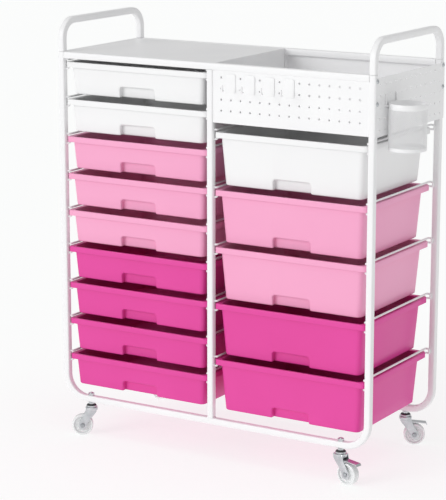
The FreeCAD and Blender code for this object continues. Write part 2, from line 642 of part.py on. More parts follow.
def drawer(name, middle_x, rim_z, height):
    """Moulded drawer: turned-down lip, tapered body, finger pull and notched rear skirt."""
    body = new_body(name, middle_x, "-%s + Sizes.drawer_setback" % HALF_DEPTH, rim_z)
    lip = new_sketch(body, "XY")
    add_rectangle(lip, "-" + LIP_HALF, LIP_HALF, "0", LIP_LENGTH)
    block = pad(body, lip, "Sizes.lip_height", reverse=True)
    lip_bottom = -size("Sizes.lip_height")
    dress(body, "Fillet", block, level_edges(block, 0, lip_bottom), "Radius", "Sizes.lip_corner")
    channel = new_sketch(body, "XY", "-1 * Sizes.lip_top")
    add_rectangle(channel, "-%s + Sizes.lip_wall" % LIP_HALF, "%s - Sizes.lip_wall" % LIP_HALF,
                  "Sizes.lip_wall", "%s - Sizes.lip_wall" % LIP_LENGTH)
    pocket(body, channel, "Sizes.lip_height")
    notch = new_sketch(body, "XY", "-1 * Sizes.lip_top")
    add_rectangle(notch, "-%s + Sizes.lip_wall" % LIP_HALF, "-%s + Sizes.lip_side" % LIP_HALF,
                  "%s - 2 * Sizes.lip_wall" % LIP_LENGTH, "%s + Sizes.lip_wall" % LIP_LENGTH)
    add_rectangle(notch, "%s - Sizes.lip_side" % LIP_HALF, "%s - Sizes.lip_wall" % LIP_HALF,
                  "%s - 2 * Sizes.lip_wall" % LIP_LENGTH, "%s + Sizes.lip_wall" % LIP_LENGTH)
    pocket(body, notch, "Sizes.lip_height")
    side = "(%s - Sizes.lip_side)" % LIP_HALF
    rear = "(%s - Sizes.lip_side)" % LIP_LENGTH
    box = new_sketch(body, "XY")
    add_rounded_rectangle(box, side, "Sizes.lip_front", rear, "Sizes.drawer_corner")
    walls = pad(body, box, height, reverse=True, taper="-1 * Sizes.drawer_taper")
    bottom = -size(height)
    dress(body, "Chamfer", walls, level_edges(walls, bottom, bottom), "Size", "Sizes.drawer_bevel")
    inside = new_sketch(body, "XY")
    add_rounded_rectangle(inside, "(%s - Sizes.drawer_wall)" % side,
                          "Sizes.lip_front + Sizes.drawer_wall", "(%s - Sizes.drawer_wall)" % rear,
                          "(Sizes.drawer_corner - Sizes.drawer_wall)")
    pocket(body, inside, "%s - Sizes.drawer_wall" % height, taper="-1 * Sizes.drawer_taper")
    finger_pull(body, height)
    return body


def drawer_column(name, middle_x, lowest_rim, height, count, pitch):
    """Drawers of one column, numbered from the top: one modelled, the others linked to it."""
    total = int(size(count))
    first = None
    for number in range(1, total + 1):
        rim_z = "%s + (%s - %d) * %s" % (lowest_rim, count, number, pitch)
        label = "%s_%d" % (name, number)
        if first is None:
            first = drawer(label, middle_x, rim_z, height)
            continue
        copy = document.addObject("App::Link", label)
        copy.LinkedObject = first
        copy.Label = label
        copy.LinkTransform = False
        place = (middle_x, "-%s + Sizes.drawer_setback" % HALF_DEPTH, rim_z)
        copy.Placement = Placement(Vector(*[size(part) for part in place]), Rotation())
        for axis, expression in zip("xyz", place):
            copy.setExpression("Placement.Base." + axis, expression)
        subparts.append(copy)


def finger_pull(body, height):
    """Recess in the bottom edge of the drawer's front, with its own wall inside the drawer."""
    front = "(Sizes.lip_front + %s * tan(Sizes.drawer_taper * 1deg))" % height
    half = "(Sizes.pull_width / 2)"
    hood = new_sketch(body, "XY", "-1 * (%s) + Sizes.drawer_bevel" % height)
    add_rectangle(hood, "-%s - Sizes.drawer_wall" % half, "%s + Sizes.drawer_wall" % half,
                  front, "%s + Sizes.pull_depth + Sizes.drawer_wall" % front)
    pad(body, hood, "Sizes.pull_height - Sizes.drawer_bevel + Sizes.drawer_wall")
    recess = new_sketch(body, "XY", "-1 * (%s)" % height)
    add_rectangle(recess, "-" + half, half, "0", "%s + Sizes.pull_depth" % front)
    pocket(body, recess, "Sizes.pull_height", reverse=True)


# Pegboard fittings

def peg_hook(x, face, high_row):
    """Hook plate with two pegs behind it and a rod with a turned-up tip in front."""
    width = size("Sizes.hook_plate_width")
    tall = size("Sizes.hook_plate_height")
    thick = size("Sizes.hook_plate")
    pitch = size("Sizes.hole_pitch")
    rod = size("Sizes.hook_rod")
    middle = high_row - pitch / 2
    corner = Vector(x - width / 2, face - thick, middle - tall / 2)
    plate = Part.makeBox(width, thick, tall, corner)
    upright = [edge for edge in plate.Edges if abs(edge.BoundBox.YLength - thick) < 0.01
               and edge.BoundBox.ZMax < middle]
    hook = plate.makeFillet(tall / 4, upright)
    for row in (high_row, high_row - pitch):
        hook = hook.fuse(Part.makeCylinder(size("Sizes.peg_width") / 2, size("Sizes.peg_length") + thick,
                                           Vector(x, face - thick, row), Vector(0, 1, 0)))
    end = face - size("Sizes.hook_length")
    foot = high_row - pitch
    arm = bent_wire([Vector(x, face - thick / 2, foot), Vector(x, end, foot),
                     Vector(x, end, foot + size("Sizes.hook_tip"))], rod)
    return hook.fuse(arm)


def peg_hooks(name):
    """Four hooks in every second column of the two upper rows."""
    face = size("-%s + Sizes.panel_setback" % HALF_DEPTH)
    middle = size("((%s + %s - Sizes.tube_width) / 2 + Sizes.front_lift)" % (BOX_FLOOR, FRAME_TOP))
    pitch = size("Sizes.hole_pitch")
    first = size("%s - (%s - 1) / 2 * Sizes.hole_pitch" % (COLUMN_MIDDLE, FRONT_COLUMNS))
    high_row = middle + (size("Sizes.front_rows") - 1) / 2 * pitch
    hooks = [peg_hook(first + column * pitch, face, high_row) for column in (1, 3, 5, 7)]
    group = document.addObject("Part::Feature", name)
    group.Label = name
    group.Shape = Part.makeCompound(hooks)
    subparts.append(group)
    return group


def pen_cup(name):
    """Open round cup with a band at rim and foot, hung by two wires from the side panel."""
    radius = size("Sizes.cup_radius")
    band = size("Sizes.cup_band")
    tall = size("Sizes.cup_height")
    face = size("%s + Sizes.sheet" % HALF_WIDTH)
    pitch = size("Sizes.hole_pitch")
    middle = size("(%s - Sizes.side_overlap + %s - Sizes.side_drop) / 2" % (BOX_FLOOR, FRAME_TOP))
    row = middle + (size("Sizes.side_rows") - 1) / 2 * pitch - pitch
    y = -(size(SIDE_COLUMNS) - 1) / 2 * pitch + 2 * pitch
    rim = row - size("Sizes.cup_drop")
    x = face + radius + size("Sizes.cup_play")
    outline = [(0, 0), (radius, 0), (radius, tall), (radius - band, tall), (radius - band, band),
               (0, band)]
    points = [Vector(x + across, y, rim - tall + up) for across, up in outline]
    profile = Part.Face(Part.makePolygon(points + points[:1]))
    cup = profile.revolve(Vector(x, y, 0), Vector(0, 0, 1), 360)
    wire = size("Sizes.cup_wire") / 2
    for side in (-1, 1):
        reach = side * pitch
        back = x - math.sqrt((radius - band / 2) ** 2 - reach ** 2)
        stem = face + size("Sizes.cup_play") + wire
        low = rim - size("Sizes.cup_rim") / 2
        cup = cup.fuse(bent_wire([Vector(face - size("Sizes.peg_length"), y + reach, row),
                                  Vector(stem, y + reach, row), Vector(stem, y + reach, low),
                                  Vector(back, y + reach, low)], 2 * wire))
    group = document.addObject("Part::Feature", name)
    group.Label = name
    group.Shape = cup
    subparts.append(group)
    return group


# Casters

def wheel_place(corner):
    """Expressions for the stem's place and the angle of one caster."""
    side_x, side_y, turn = WHEELS[corner]
    return ("%d * (%s - Sizes.caster_inset)" % (side_x, HALF_WIDTH),
            "%d * %s" % (side_y, UPRIGHT_Y), turn)


def caster_stem(corner):
    """Threaded stem with its lock nut, ball race cup and riveted lower end."""
    x, y, turn = wheel_place(corner)
    body = new_body("caster_stem_" + corner, x, y, "0", turn)
    shaft = "Sizes.stem_width / 2"
    race_low = PLATE_TOP + " + Sizes.race_play"
    race_high = race_low + " + Sizes.race_height"
    plate_low = PLATE_TOP + " - Sizes.fork_plate - Sizes.race_play"
    outline = new_sketch(body, "XZ")
    add_polygon(outline, [
        ("0", plate_low + " - Sizes.rivet_height"),
        ("Sizes.rivet_radius", plate_low + " - Sizes.rivet_height"),
        ("Sizes.rivet_radius", plate_low),
        (shaft, plate_low),
        (shaft, race_low),
        ("Sizes.race_radius", race_low),
        ("Sizes.race_radius", race_high),
        (shaft, race_high),
        (shaft, RAIL_TOP + " + Sizes.nut_height + 2"),
        ("0", RAIL_TOP + " + Sizes.nut_height + 2")])
    revolve(body, outline)
    nut = new_sketch(body, "XY", race_high)
    add_ngon(nut, HEXAGON, "0", "0", "Sizes.nut_width")
    pad(body, nut, "Sizes.nut_height")
    return body


def caster_nuts(name):
    """Nuts that clamp the stems on top of the bottom rails."""
    body = new_body(name)
    outline = new_sketch(body, "XY", RAIL_TOP)
    for corner in WHEELS:
        x, y, turn = wheel_place(corner)
        add_ngon(outline, HEXAGON, x, y, "Sizes.nut_width")
        add_circle(outline, x, y, "Sizes.stem_width / 2 + Sizes.bore_play")
    pad(body, outline, "Sizes.nut_height")
    return body


def caster_fork(corner):
    """Pressed fork: round head under the race, two legs tapering to the axle."""
    x, y, turn = wheel_place(corner)
    body = new_body("caster_fork_" + corner, x, y, "0", turn)
    outer = "(%s + Sizes.fork_leg)" % FORK_HALF
    side = new_sketch(body, "YZ", "-" + outer)
    low = "Sizes.wheel_radius - Sizes.fork_end"
    add_polygon(side, [
        ("-Sizes.fork_front", PLATE_TOP), ("-Sizes.fork_front", PLATE_TOP + " - Sizes.fork_plate - 4"),
        ("Sizes.trail - Sizes.fork_end", "Sizes.wheel_radius"),
        ("Sizes.trail - Sizes.fork_end / 2", low), ("Sizes.trail + Sizes.fork_end / 2", low),
        ("Sizes.trail + Sizes.fork_end", "Sizes.wheel_radius"),
        ("Sizes.fork_front", PLATE_TOP + " - Sizes.fork_plate - 4"),
        ("Sizes.fork_front", PLATE_TOP)])
    pad(body, side, "2 * " + outer)
    gap = new_sketch(body, "XY", "0")
    add_rectangle(gap, "-" + FORK_HALF, FORK_HALF, "-2 * Sizes.fork_front", "2 * Sizes.wheel_radius")
    pocket(body, gap, PLATE_TOP + " - Sizes.fork_plate", reverse=True)
    bores = new_sketch(body, "XY", PLATE_TOP)
    add_circle(bores, "0", "0", "Sizes.stem_width / 2 + Sizes.bore_play")
    pocket(body, bores, "2 * Sizes.fork_plate")
    pins = new_sketch(body, "YZ", outer)
    add_circle(pins, "Sizes.trail", "Sizes.wheel_radius", "Sizes.axle_width / 2 + Sizes.bore_play")
    if corner in BRAKED:
        add_circle(pins, "Sizes.lever_back", LEVER_PIN_Z, "Sizes.lever_pin / 2 + Sizes.bore_play")
    pocket(body, pins, "2 * " + outer)
    return body


def caster_wheel(corner):
    """Moulded wheel with a dished web and a plain bore."""
    x, y, turn = wheel_place(corner)
    body = new_body("caster_wheel_" + corner, x, y, "0", turn)
    wheel = "Sizes.wheel_radius"
    half = "Sizes.wheel_width / 2"
    bore = "%s + Sizes.axle_width / 2 + Sizes.bore_play" % wheel
    hub = "%s + Sizes.wheel_hub" % wheel
    rim = "2 * %s - Sizes.wheel_tread" % wheel
    half_profile = [(half, bore), (half, hub), ("%s - Sizes.wheel_dish" % half, hub),
                    ("%s - Sizes.wheel_dish" % half, rim), (half, rim), (half, "2 * " + wheel)]
    mirrored = [("-1 * (%s)" % across, up) for across, up in reversed(half_profile)]
    outline = new_sketch(body, "XZ", "-1 * Sizes.trail")
    add_polygon(outline, half_profile + mirrored)
    axis = add_path_line(outline, ("-" + half, wheel), (half, wheel))
    outline.toggleConstruction(axis)
    revolve(body, outline, "Axis0")
    return body


def turned_pin(body, y, z, radius, head, cap, half):
    """Pin along X with a head at both ends."""
    outline = new_sketch(body, "XZ", "-1 * (%s)" % y)
    end = "%s + %s" % (half, cap)
    add_polygon(outline, [("-1 * (%s)" % end, z), ("-1 * (%s)" % end, "%s + %s" % (z, head)),
                          ("-1 * (%s)" % half, "%s + %s" % (z, head)),
                          ("-1 * (%s)" % half, "%s + %s" % (z, radius)),
                          (half, "%s + %s" % (z, radius)), (half, "%s + %s" % (z, head)),
                          (end, "%s + %s" % (z, head)), (end, z)])
    axis = add_path_line(outline, ("-1 * (%s)" % end, z), (end, z))
    outline.toggleConstruction(axis)
    return revolve(body, outline, "Axis0")


def caster_axle(corner):
    """Axle bolt of the wheel and, on a braked caster, the pin of its lever."""
    x, y, turn = wheel_place(corner)
    body = new_body("caster_axle_" + corner, x, y, "0", turn)
    half = "(%s + Sizes.fork_leg)" % FORK_HALF
    turned_pin(body, "Sizes.trail", "Sizes.wheel_radius", "Sizes.axle_width / 2", "Sizes.axle_head",
               "Sizes.axle_cap", half)
    if corner in BRAKED:
        turned_pin(body, "Sizes.lever_back", LEVER_PIN_Z, "Sizes.lever_pin / 2", "Sizes.lever_pin * 0.8",
                   "Sizes.axle_cap / 2", half)
    return body


def brake_lever(corner):
    """Stamped lever curled round its pin, reaching back over the tread."""
    x, y, turn = wheel_place(corner)
    body = new_body("brake_lever_" + corner, x, y, "0", turn)
    half = "(%s - Sizes.lever_play)" % FORK_HALF
    outline = new_sketch(body, "YZ", "-" + half)
    pin = "Sizes.lever_back"
    fall = "tan(Sizes.lever_tilt * 1deg)"
    end = "%s + Sizes.lever_length" % pin
    top = "%s + Sizes.lever_plate / 2" % LEVER_PIN_Z
    add_polygon(outline, [(pin, "%s - Sizes.lever_plate" % top), (pin, top),
                          (end, "%s - Sizes.lever_length * %s" % (top, fall)),
                          ("%s + 3" % end, "%s - Sizes.lever_length * %s - 5" % (top, fall)),
                          ("%s + 1" % end, "%s - Sizes.lever_length * %s - 5" % (top, fall)),
                          ("%s - 1" % end, "%s - Sizes.lever_length * %s - Sizes.lever_plate" % (top, fall))])
    pad(body, outline, "2 * " + half)
    curl = new_sketch(body, "YZ", "-" + half)
    add_circle(curl, pin, LEVER_PIN_Z, "Sizes.lever_curl")
    pad(body, curl, "2 * " + half)
    bore = new_sketch(body, "YZ", half)
    add_circle(bore, pin, LEVER_PIN_Z, "Sizes.lever_pin / 2 + Sizes.bore_play")
    pocket(body, bore, "2 * " + half)
    return body


def check_and_export():
    """Refuse a failed object, then write each sub-part to its own file."""
    document.recompute()
    for item in document.Objects:
        if "Invalid" in item.State or "Error" in item.State:
            raise ValueError("%s is %s" % (item.Label, item.State))
    shapes = {item.Label: Part.getShape(item) for item in subparts}
    for label, shape in shapes.items():
        if shape.isNull() or not shape.isValid():
            raise ValueError(label + " has no valid shape")
    os.makedirs("parts", exist_ok=True)
    for label, shape in shapes.items():
        shape.exportStep(os.path.join("parts", label + ".step"))


frame_tube("front_frame_tube", -1)
frame_tube("rear_frame_tube", 1)
top_rail("front_top_rail", -1)
top_rail("rear_top_rail", 1)
centre_post("front_centre_post", -1)
centre_post("rear_centre_post", 1)
handle("left_handle", -1)
handle("right_handle", 1)
top_shelf("top_shelf")
box_floor("box_floor")
box_divider("box_divider")
front_pegboard("front_pegboard")
side_pegboard("side_pegboard")
box_back_panel("box_back_panel")
screws("panel_screws", 1, "(%s + Sizes.sheet)" % HALF_WIDTH, ("Sizes.screw_high", "Sizes.screw_low"))
screws("handle_screws", -1, "-" + HALF_WIDTH, ("Sizes.screw_high",))
peg_hooks("peg_hooks")
pen_cup("pen_cup")

left_face = "(%s - %s)" % (UPRIGHT_X, HALF_TUBE)
shallow_rim = "(%s + Sizes.shallow_gap + Sizes.shallow_height)" % RAIL_TOP
deep_rim = "(%s + Sizes.deep_gap + Sizes.deep_height)" % RAIL_TOP
runner_group("left_outer_runners", "-" + left_face, 1, shallow_rim, "Sizes.shallow_count",
             "Sizes.shallow_pitch")
runner_group("left_inner_runners", "-" + HALF_TUBE, -1, shallow_rim, "Sizes.shallow_count",
             "Sizes.shallow_pitch")
runner_group("right_inner_runners", HALF_TUBE, 1, deep_rim, "Sizes.deep_count", "Sizes.deep_pitch")
runner_group("right_outer_runners", left_face, -1, deep_rim, "Sizes.deep_count", "Sizes.deep_pitch")
drawer_column("shallow_drawer", "-" + COLUMN_MIDDLE, shallow_rim, "Sizes.shallow_height",
              "Sizes.shallow_count", "Sizes.shallow_pitch")
drawer_column("deep_drawer", COLUMN_MIDDLE, deep_rim, "Sizes.deep_height", "Sizes.deep_count",
              "Sizes.deep_pitch")

for corner in WHEELS:
    caster_stem(corner)
    caster_fork(corner)
    caster_wheel(corner)
    caster_axle(corner)
for corner in BRAKED:
    brake_lever(corner)
caster_nuts("caster_nuts")
check_and_export()
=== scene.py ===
import math
import bpy
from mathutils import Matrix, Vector


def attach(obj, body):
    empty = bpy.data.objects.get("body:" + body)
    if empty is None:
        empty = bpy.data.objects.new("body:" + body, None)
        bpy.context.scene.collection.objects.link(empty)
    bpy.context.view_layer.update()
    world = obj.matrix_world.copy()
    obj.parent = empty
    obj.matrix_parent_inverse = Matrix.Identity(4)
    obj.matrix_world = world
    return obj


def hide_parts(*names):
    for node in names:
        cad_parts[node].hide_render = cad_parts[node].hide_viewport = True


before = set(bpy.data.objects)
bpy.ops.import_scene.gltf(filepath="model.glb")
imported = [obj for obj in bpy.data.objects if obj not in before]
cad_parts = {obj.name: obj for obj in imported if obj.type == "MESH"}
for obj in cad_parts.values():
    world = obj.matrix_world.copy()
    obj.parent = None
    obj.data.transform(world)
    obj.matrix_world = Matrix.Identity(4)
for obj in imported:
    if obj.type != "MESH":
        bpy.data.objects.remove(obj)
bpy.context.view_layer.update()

# Front and rear frames: 16 mm square steel tube with softly rounded edges, each bent into one
# long U from the left upright through the bottom rail to the right upright.
# The white powder coat lies over all of the steelwork.
MM = 0.001
TUBE = 16
TUBE_EDGE = 3.2
HALF_WIDTH = 424
HALF_DEPTH = 175
UPRIGHT_X = HALF_WIDTH - TUBE / 2
UPRIGHT_Y = HALF_DEPTH - TUBE / 2
RAIL_Z = 92
FRAME_TOP = 944
FRAME_BEND = 56
SEAM = 0.3


class Value:
    """A socket of a finish that takes part in sums."""

    def __init__(self, finish, socket):
        self.finish, self.socket = finish, socket

    def _maths(self, operation, first, second):
        return self.finish.node("ShaderNodeMath", {"operation": operation}, {0: first, 1: second})

    def __add__(self, other):
        return self._maths("ADD", self, other)

    def __radd__(self, other):
        return self._maths("ADD", other, self)

    def __mul__(self, other):
        return self._maths("MULTIPLY", self, other)

    def __rmul__(self, other):
        return self._maths("MULTIPLY", other, self)


class Finish:
    """One surface finish: a material and the nodes that colour it."""

    def __init__(self, name, **fixed):
        self.material = bpy.data.materials.new(name)
        self.material.use_nodes = True
        self.tree = self.material.node_tree
        self.shader = self.tree.nodes["Principled BSDF"]
        for socket, value in fixed.items():
            self.shader.inputs[socket.replace("_", " ")].default_value = value
        self.place = self.node("ShaderNodeTexCoord", {}, {}, "Object")

    def node(self, kind, settings, sockets, output=0):
        made = self.tree.nodes.new(kind)
        for name, value in settings.items():
            setattr(made, name, value)
        for name, value in sockets.items():
            if isinstance(value, Value):
                self.tree.links.new(value.socket, made.inputs[name])
            else:
                made.inputs[name].default_value = value
        return Value(self, made.outputs[output])

    def noise(self, scale, detail=2.0, roughness=0.5, stretch=None):
        """Noise from about 0.3 to 0.7 over the piece's own place."""
        place = self.place
        if stretch:
            place = self.node("ShaderNodeMapping", {}, {"Vector": place, "Scale": stretch})
        return self.node("ShaderNodeTexNoise", {}, {"Vector": place, "Scale": scale, "Detail": detail,
                                                    "Roughness": roughness})

    def blend(self, amount, first, second):
        return self.node("ShaderNodeMix", {"data_type": "RGBA"}, {0: amount, 6: first, 7: second}, 2)

    def feed(self, **sockets):
        for name, value in sockets.items():
            self.tree.links.new(value.socket, self.shader.inputs[name.replace("_", " ")])

    def bump(self, height, strength, distance):
        self.feed(Normal=self.node("ShaderNodeBump", {}, {"Height": height, "Strength": strength,
                                                          "Distance": distance}))


def rgb(red, green, blue):
    return (red, green, blue, 1.0)


def powder_coat(name, light, shade):
    """Powder coat: fine orange peel, and a slightly uneven gloss."""
    coat = Finish(name, Roughness=0.38, Specular_IOR_Level=0.45)
    cloud = coat.noise(9.0, 3.0)
    peel = coat.noise(620.0, 2.0)
    coat.feed(Base_Color=coat.blend(cloud, shade, light), Roughness=cloud * 0.16 + 0.28 + peel * 0.06)
    coat.bump(peel, 0.10, 0.0004)
    return coat


white_coat = powder_coat("white powder coat", rgb(0.93, 0.93, 0.935), rgb(0.87, 0.87, 0.88))


def settle():
    """Leave edit mode with nothing selected."""
    if bpy.context.object and bpy.context.object.mode != "OBJECT":
        bpy.ops.object.mode_set(mode="OBJECT")
    bpy.ops.object.select_all(action="DESELECT")


def pick(*pieces):
    """Select these pieces only; the first is the active one."""
    settle()
    for piece in pieces:
        piece.select_set(True)
    bpy.context.view_layer.objects.active = pieces[0]


def shape(piece):
    """Edit one piece with nothing of its mesh selected."""
    pick(piece)
    bpy.ops.object.mode_set(mode="EDIT")
    bpy.ops.mesh.select_all(action="DESELECT")


def choose(piece, kind, test):
    """Select the faces, or edges, of a piece in edit mode that pass a test on their middle and
    their normal, or direction."""
    bpy.ops.mesh.select_mode(type=kind)
    bpy.ops.mesh.select_all(action="DESELECT")
    bpy.ops.object.mode_set(mode="OBJECT")
    mesh = piece.data
    for part in mesh.polygons if kind == "FACE" else mesh.edges:
        points = [mesh.vertices[index].co for index in part.vertices]
        middle = sum(points, Vector()) / len(points) / MM
        if test(middle, part.normal if kind == "FACE" else (points[1] - points[0]).normalized()):
            part.select = True
    bpy.ops.object.mode_set(mode="EDIT")


def finish_modifiers(piece, degrees=32):
    """Apply the modifiers and smooth all but the sharp edges."""
    pick(piece)
    for modifier in list(piece.modifiers):
        bpy.ops.object.modifier_apply(modifier=modifier.name)
    bpy.ops.object.shade_smooth_by_angle(angle=math.radians(degrees))


def settle_place(piece):
    """Put the piece's place, turn and size into its mesh."""
    pick(piece)
    bpy.ops.object.transform_apply(location=True, rotation=True, scale=True)


def join(name, pieces):
    """Make one piece of several."""
    pick(*pieces)
    bpy.ops.object.join()
    pieces[0].name = name
    return pieces[0]


def copy_to(piece, name, x=0, y=0, z=0, turn=0):
    """Copy with its own mesh, turned about the upright axis and then moved, in millimetres."""
    pick(piece)
    bpy.ops.object.duplicate(linked=False)
    copied = bpy.context.object
    copied.name = name
    copied.rotation_euler = (0, 0, math.radians(turn))
    copied.location = Vector((x, y, z)) * MM
    settle_place(copied)
    return copied


def fit(piece, finish, body, slot, *nodes):
    """Give a finished piece its finish, its body and the parts that it stands for."""
    piece.data.materials.clear()
    piece.data.materials.append(finish.material)
    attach(piece, body)
    if nodes:
        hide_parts(*nodes)


def bent_bar(name, corners, radius, width, corner=None, steps=6, sides=12):
    """Bar drawn through corners in millimetres and bent round at each inner one.
    It is round, or square with rounded edges where a corner radius is given."""
    corners = [Vector(point) * MM for point in corners]
    ahead = (corners[1] - corners[0]).normalized()
    turn = ahead.to_track_quat("Z", "Y").to_euler()
    settle()
    if corner is None:
        bpy.ops.mesh.primitive_circle_add(vertices=sides, radius=width / 2 * MM, location=corners[0],
                                          rotation=turn)
    else:
        bpy.ops.mesh.primitive_plane_add(size=width * MM, location=corners[0], rotation=turn)
    bar = bpy.context.object
    bar.name = name
    settle_place(bar)
    shape(bar)
    bpy.ops.mesh.select_all(action="SELECT")
    if corner is not None:
        bpy.ops.mesh.bevel(offset=corner * MM, segments=3, affect="VERTICES")
        bpy.ops.mesh.delete(type="ONLY_FACE")
        bpy.ops.mesh.select_all(action="SELECT")
    here = corners[0]
    for index in range(1, len(corners)):
        target = corners[index]
        ahead = (target - here).normalized()
        if index + 1 < len(corners):
            after = (corners[index + 1] - target).normalized()
            angle = ahead.angle(after)
            reach = radius * MM * math.tan(angle / 2)
            bpy.ops.mesh.extrude_region_move(
                TRANSFORM_OT_translate={"value": target - ahead * reach - here})
            axis = ahead.cross(after).normalized()
            centre = target - ahead * reach + axis.cross(ahead) * radius * MM
            bpy.ops.mesh.spin(steps=steps, angle=-angle, center=centre, axis=axis)
            here = target + after * reach
        else:
            bpy.ops.mesh.extrude_region_move(TRANSFORM_OT_translate={"value": target - here})
    bpy.ops.mesh.select_all(action="SELECT")
    bpy.ops.mesh.remove_doubles(threshold=0.02 * MM)
    bpy.ops.mesh.fill_holes(sides=0)
    bpy.ops.mesh.normals_make_consistent(inside=False)
    settle()
    return bar


def square_tube(name, corners, radius, node):
    """Length of the cart's tube, coated and fixed to the frame."""
    tube = bent_bar(name, corners, radius, TUBE, TUBE_EDGE, steps=10)
    finish_modifiers(tube)
    fit(tube, white_coat, "cart_frame", "white_metal", node)
    return tube


for face, y in (("front", -UPRIGHT_Y), ("rear", UPRIGHT_Y)):
    square_tube(face + "_frame", [(-UPRIGHT_X, y, FRAME_TOP - SEAM), (-UPRIGHT_X, y, RAIL_Z),
                                  (UPRIGHT_X, y, RAIL_Z), (UPRIGHT_X, y, FRAME_TOP - SEAM)],
                FRAME_BEND, face + "_frame_tube")

# Top rails and centre posts: straight lengths of the same tube, welded between the uprights
# and between the two rails. A low bead of weld shows under the coat at each joint.
BEAD = 1.8
BEAD_BEND = 1.5
BEAD_SUNK = 0.576
RAIL_END = UPRIGHT_X - TUBE / 2
for face, y in (("front", -UPRIGHT_Y), ("rear", UPRIGHT_Y)):
    square_tube(face + "_rail", [(-RAIL_END, y, FRAME_TOP - TUBE / 2), (RAIL_END, y, FRAME_TOP - TUBE / 2)],
                0, face + "_top_rail")
    square_tube(face + "_post", [(0, y, RAIL_Z + TUBE / 2), (0, y, FRAME_TOP - TUBE)],
                0, face + "_centre_post")


def weld_bead(x, y, z, along):
    """Square collar of weld round the end of a tube that runs along X or Z."""
    half = TUBE / 2 - BEAD_SUNK
    ends = [(-half, -half), (half, -half), (half, half), (-half, half), (-half, -half)]
    if along == "X":
        corners = [(x, y + a, z + b) for a, b in ends]
    else:
        corners = [(x + a, y + b, z) for a, b in ends]
    return bent_bar("bead", corners, BEAD_BEND, BEAD, steps=2, sides=6)


beads = []
for y in (-UPRIGHT_Y, UPRIGHT_Y):
    for x in (-RAIL_END + SEAM, RAIL_END - SEAM):
        beads.append(weld_bead(x, y, FRAME_TOP - TUBE / 2, "X"))
    for z in (RAIL_Z + TUBE / 2 + SEAM, FRAME_TOP - TUBE - SEAM):
        beads.append(weld_bead(0, y, z, "Z"))
welds = join("weld_beads", beads)
finish_modifiers(welds)
fit(welds, white_coat, "cart_frame", "white_metal")

# Handles: the same tube bent into a flat arch at each end of the cart. The necked legs plug
# into the uprights, so only a fine seam shows where they meet.
GRIP_Z = 1016
GRIP_BEND = 42
for side, x in (("left", -UPRIGHT_X), ("right", UPRIGHT_X)):
    square_tube(side + "_grip", [(x, -UPRIGHT_Y, FRAME_TOP + SEAM), (x, -UPRIGHT_Y, GRIP_Z),
                                 (x, UPRIGHT_Y, GRIP_Z), (x, UPRIGHT_Y, FRAME_TOP + SEAM)],
                GRIP_BEND, side + "_handle")

# Shelf, box floor, divider and back panel: pressed sheet with folded edges, coated white.
# Their shapes come from the frame as they are, and only the coat is added.
for node in ("top_shelf", "box_floor", "box_divider", "box_back_panel"):
    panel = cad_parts[node]
    for slot in panel.material_slots:
        slot.material = white_coat.material

# Pegboards: 1 mm sheet punched with round 5 mm holes on a 25.4 mm pitch. The front one is
# folded back at its four edges; the side one is flat and screwed over the uprights.
PITCH = 25.4
HOLE = 5
SHEET = 1
FRONT_COLUMNS, FRONT_ROWS = 15, 4
SIDE_COLUMNS, SIDE_ROWS = 13, 5
FRONT_HOLE = (30.2, 836.3)
SIDE_HOLE = (-152.4, 820.45)
FRONT_LOW, FRONT_HIGH = (TUBE / 2, 808), (HALF_WIDTH - TUBE, 928)
SIDE_LOW, SIDE_HIGH = (-HALF_DEPTH, 806), (HALF_DEPTH, 936.5)
FRONT_BOARD_Y = -171.5
FRONT_FOLD = 11.5


def pegboard(name, columns, rows, first, low, high):
    """Sheet in the XZ plane at y 0, with its first hole at (x, z) and its edges at low and high."""
    settle()
    across = Vector((math.pi / 2, 0, 0))
    bpy.ops.mesh.primitive_plane_add(size=PITCH * MM, rotation=across,
                                     location=(first[0] * MM, 0, first[1] * MM))
    board = bpy.context.object
    board.name = name
    settle_place(board)
    shape(board)
    bpy.ops.mesh.select_all(action="SELECT")
    bpy.ops.mesh.delete(type="ONLY_FACE")
    bpy.ops.mesh.select_all(action="SELECT")
    bpy.ops.mesh.subdivide(number_cuts=3)
    bpy.ops.mesh.primitive_circle_add(vertices=16, radius=HOLE / 2 * MM, rotation=across,
                                      location=(first[0] * MM, 0, first[1] * MM))
    bpy.ops.mesh.select_all(action="SELECT")
    bpy.ops.mesh.bridge_edge_loops()
    settle()
    for count, offset in ((columns, (PITCH * MM, 0, 0)), (rows, (0, 0, PITCH * MM))):
        repeat = board.modifiers.new("Repeat", "ARRAY")
        repeat.use_relative_offset = False
        repeat.use_constant_offset = True
        repeat.constant_offset_displace = offset
        repeat.count = count
        repeat.use_merge_vertices = True
        repeat.merge_threshold = 0.05 * MM
    finish_modifiers(board)
    half = PITCH / 2
    edges = (first[0] - half, first[0] - half + columns * PITCH,
             first[1] - half, first[1] - half + rows * PITCH)
    shape(board)
    for axis, edge, end in ((0, edges[0], low[0]), (0, edges[1], high[0]),
                            (2, edges[2], low[1]), (2, edges[3], high[1])):
        choose(board, "EDGE", lambda middle, run: abs(middle[axis] - edge) < 0.1 and abs(run[axis]) < 0.1)
        move = [0, 0, 0]
        move[axis] = (end - edge) * MM
        bpy.ops.mesh.extrude_region_move(TRANSFORM_OT_translate={"value": move})
    settle()
    return board


def thicken(board):
    """Give the sheet its thickness and break its edges."""
    wall = board.modifiers.new("Wall", "SOLIDIFY")
    wall.thickness = SHEET * MM
    wall.offset = 0
    wall.use_even_offset = True
    edge = board.modifiers.new("Edge", "BEVEL")
    edge.width = 0.3 * MM
    edge.segments = 1
    edge.limit_method = "ANGLE"
    edge.angle_limit = math.radians(50)
    finish_modifiers(board)


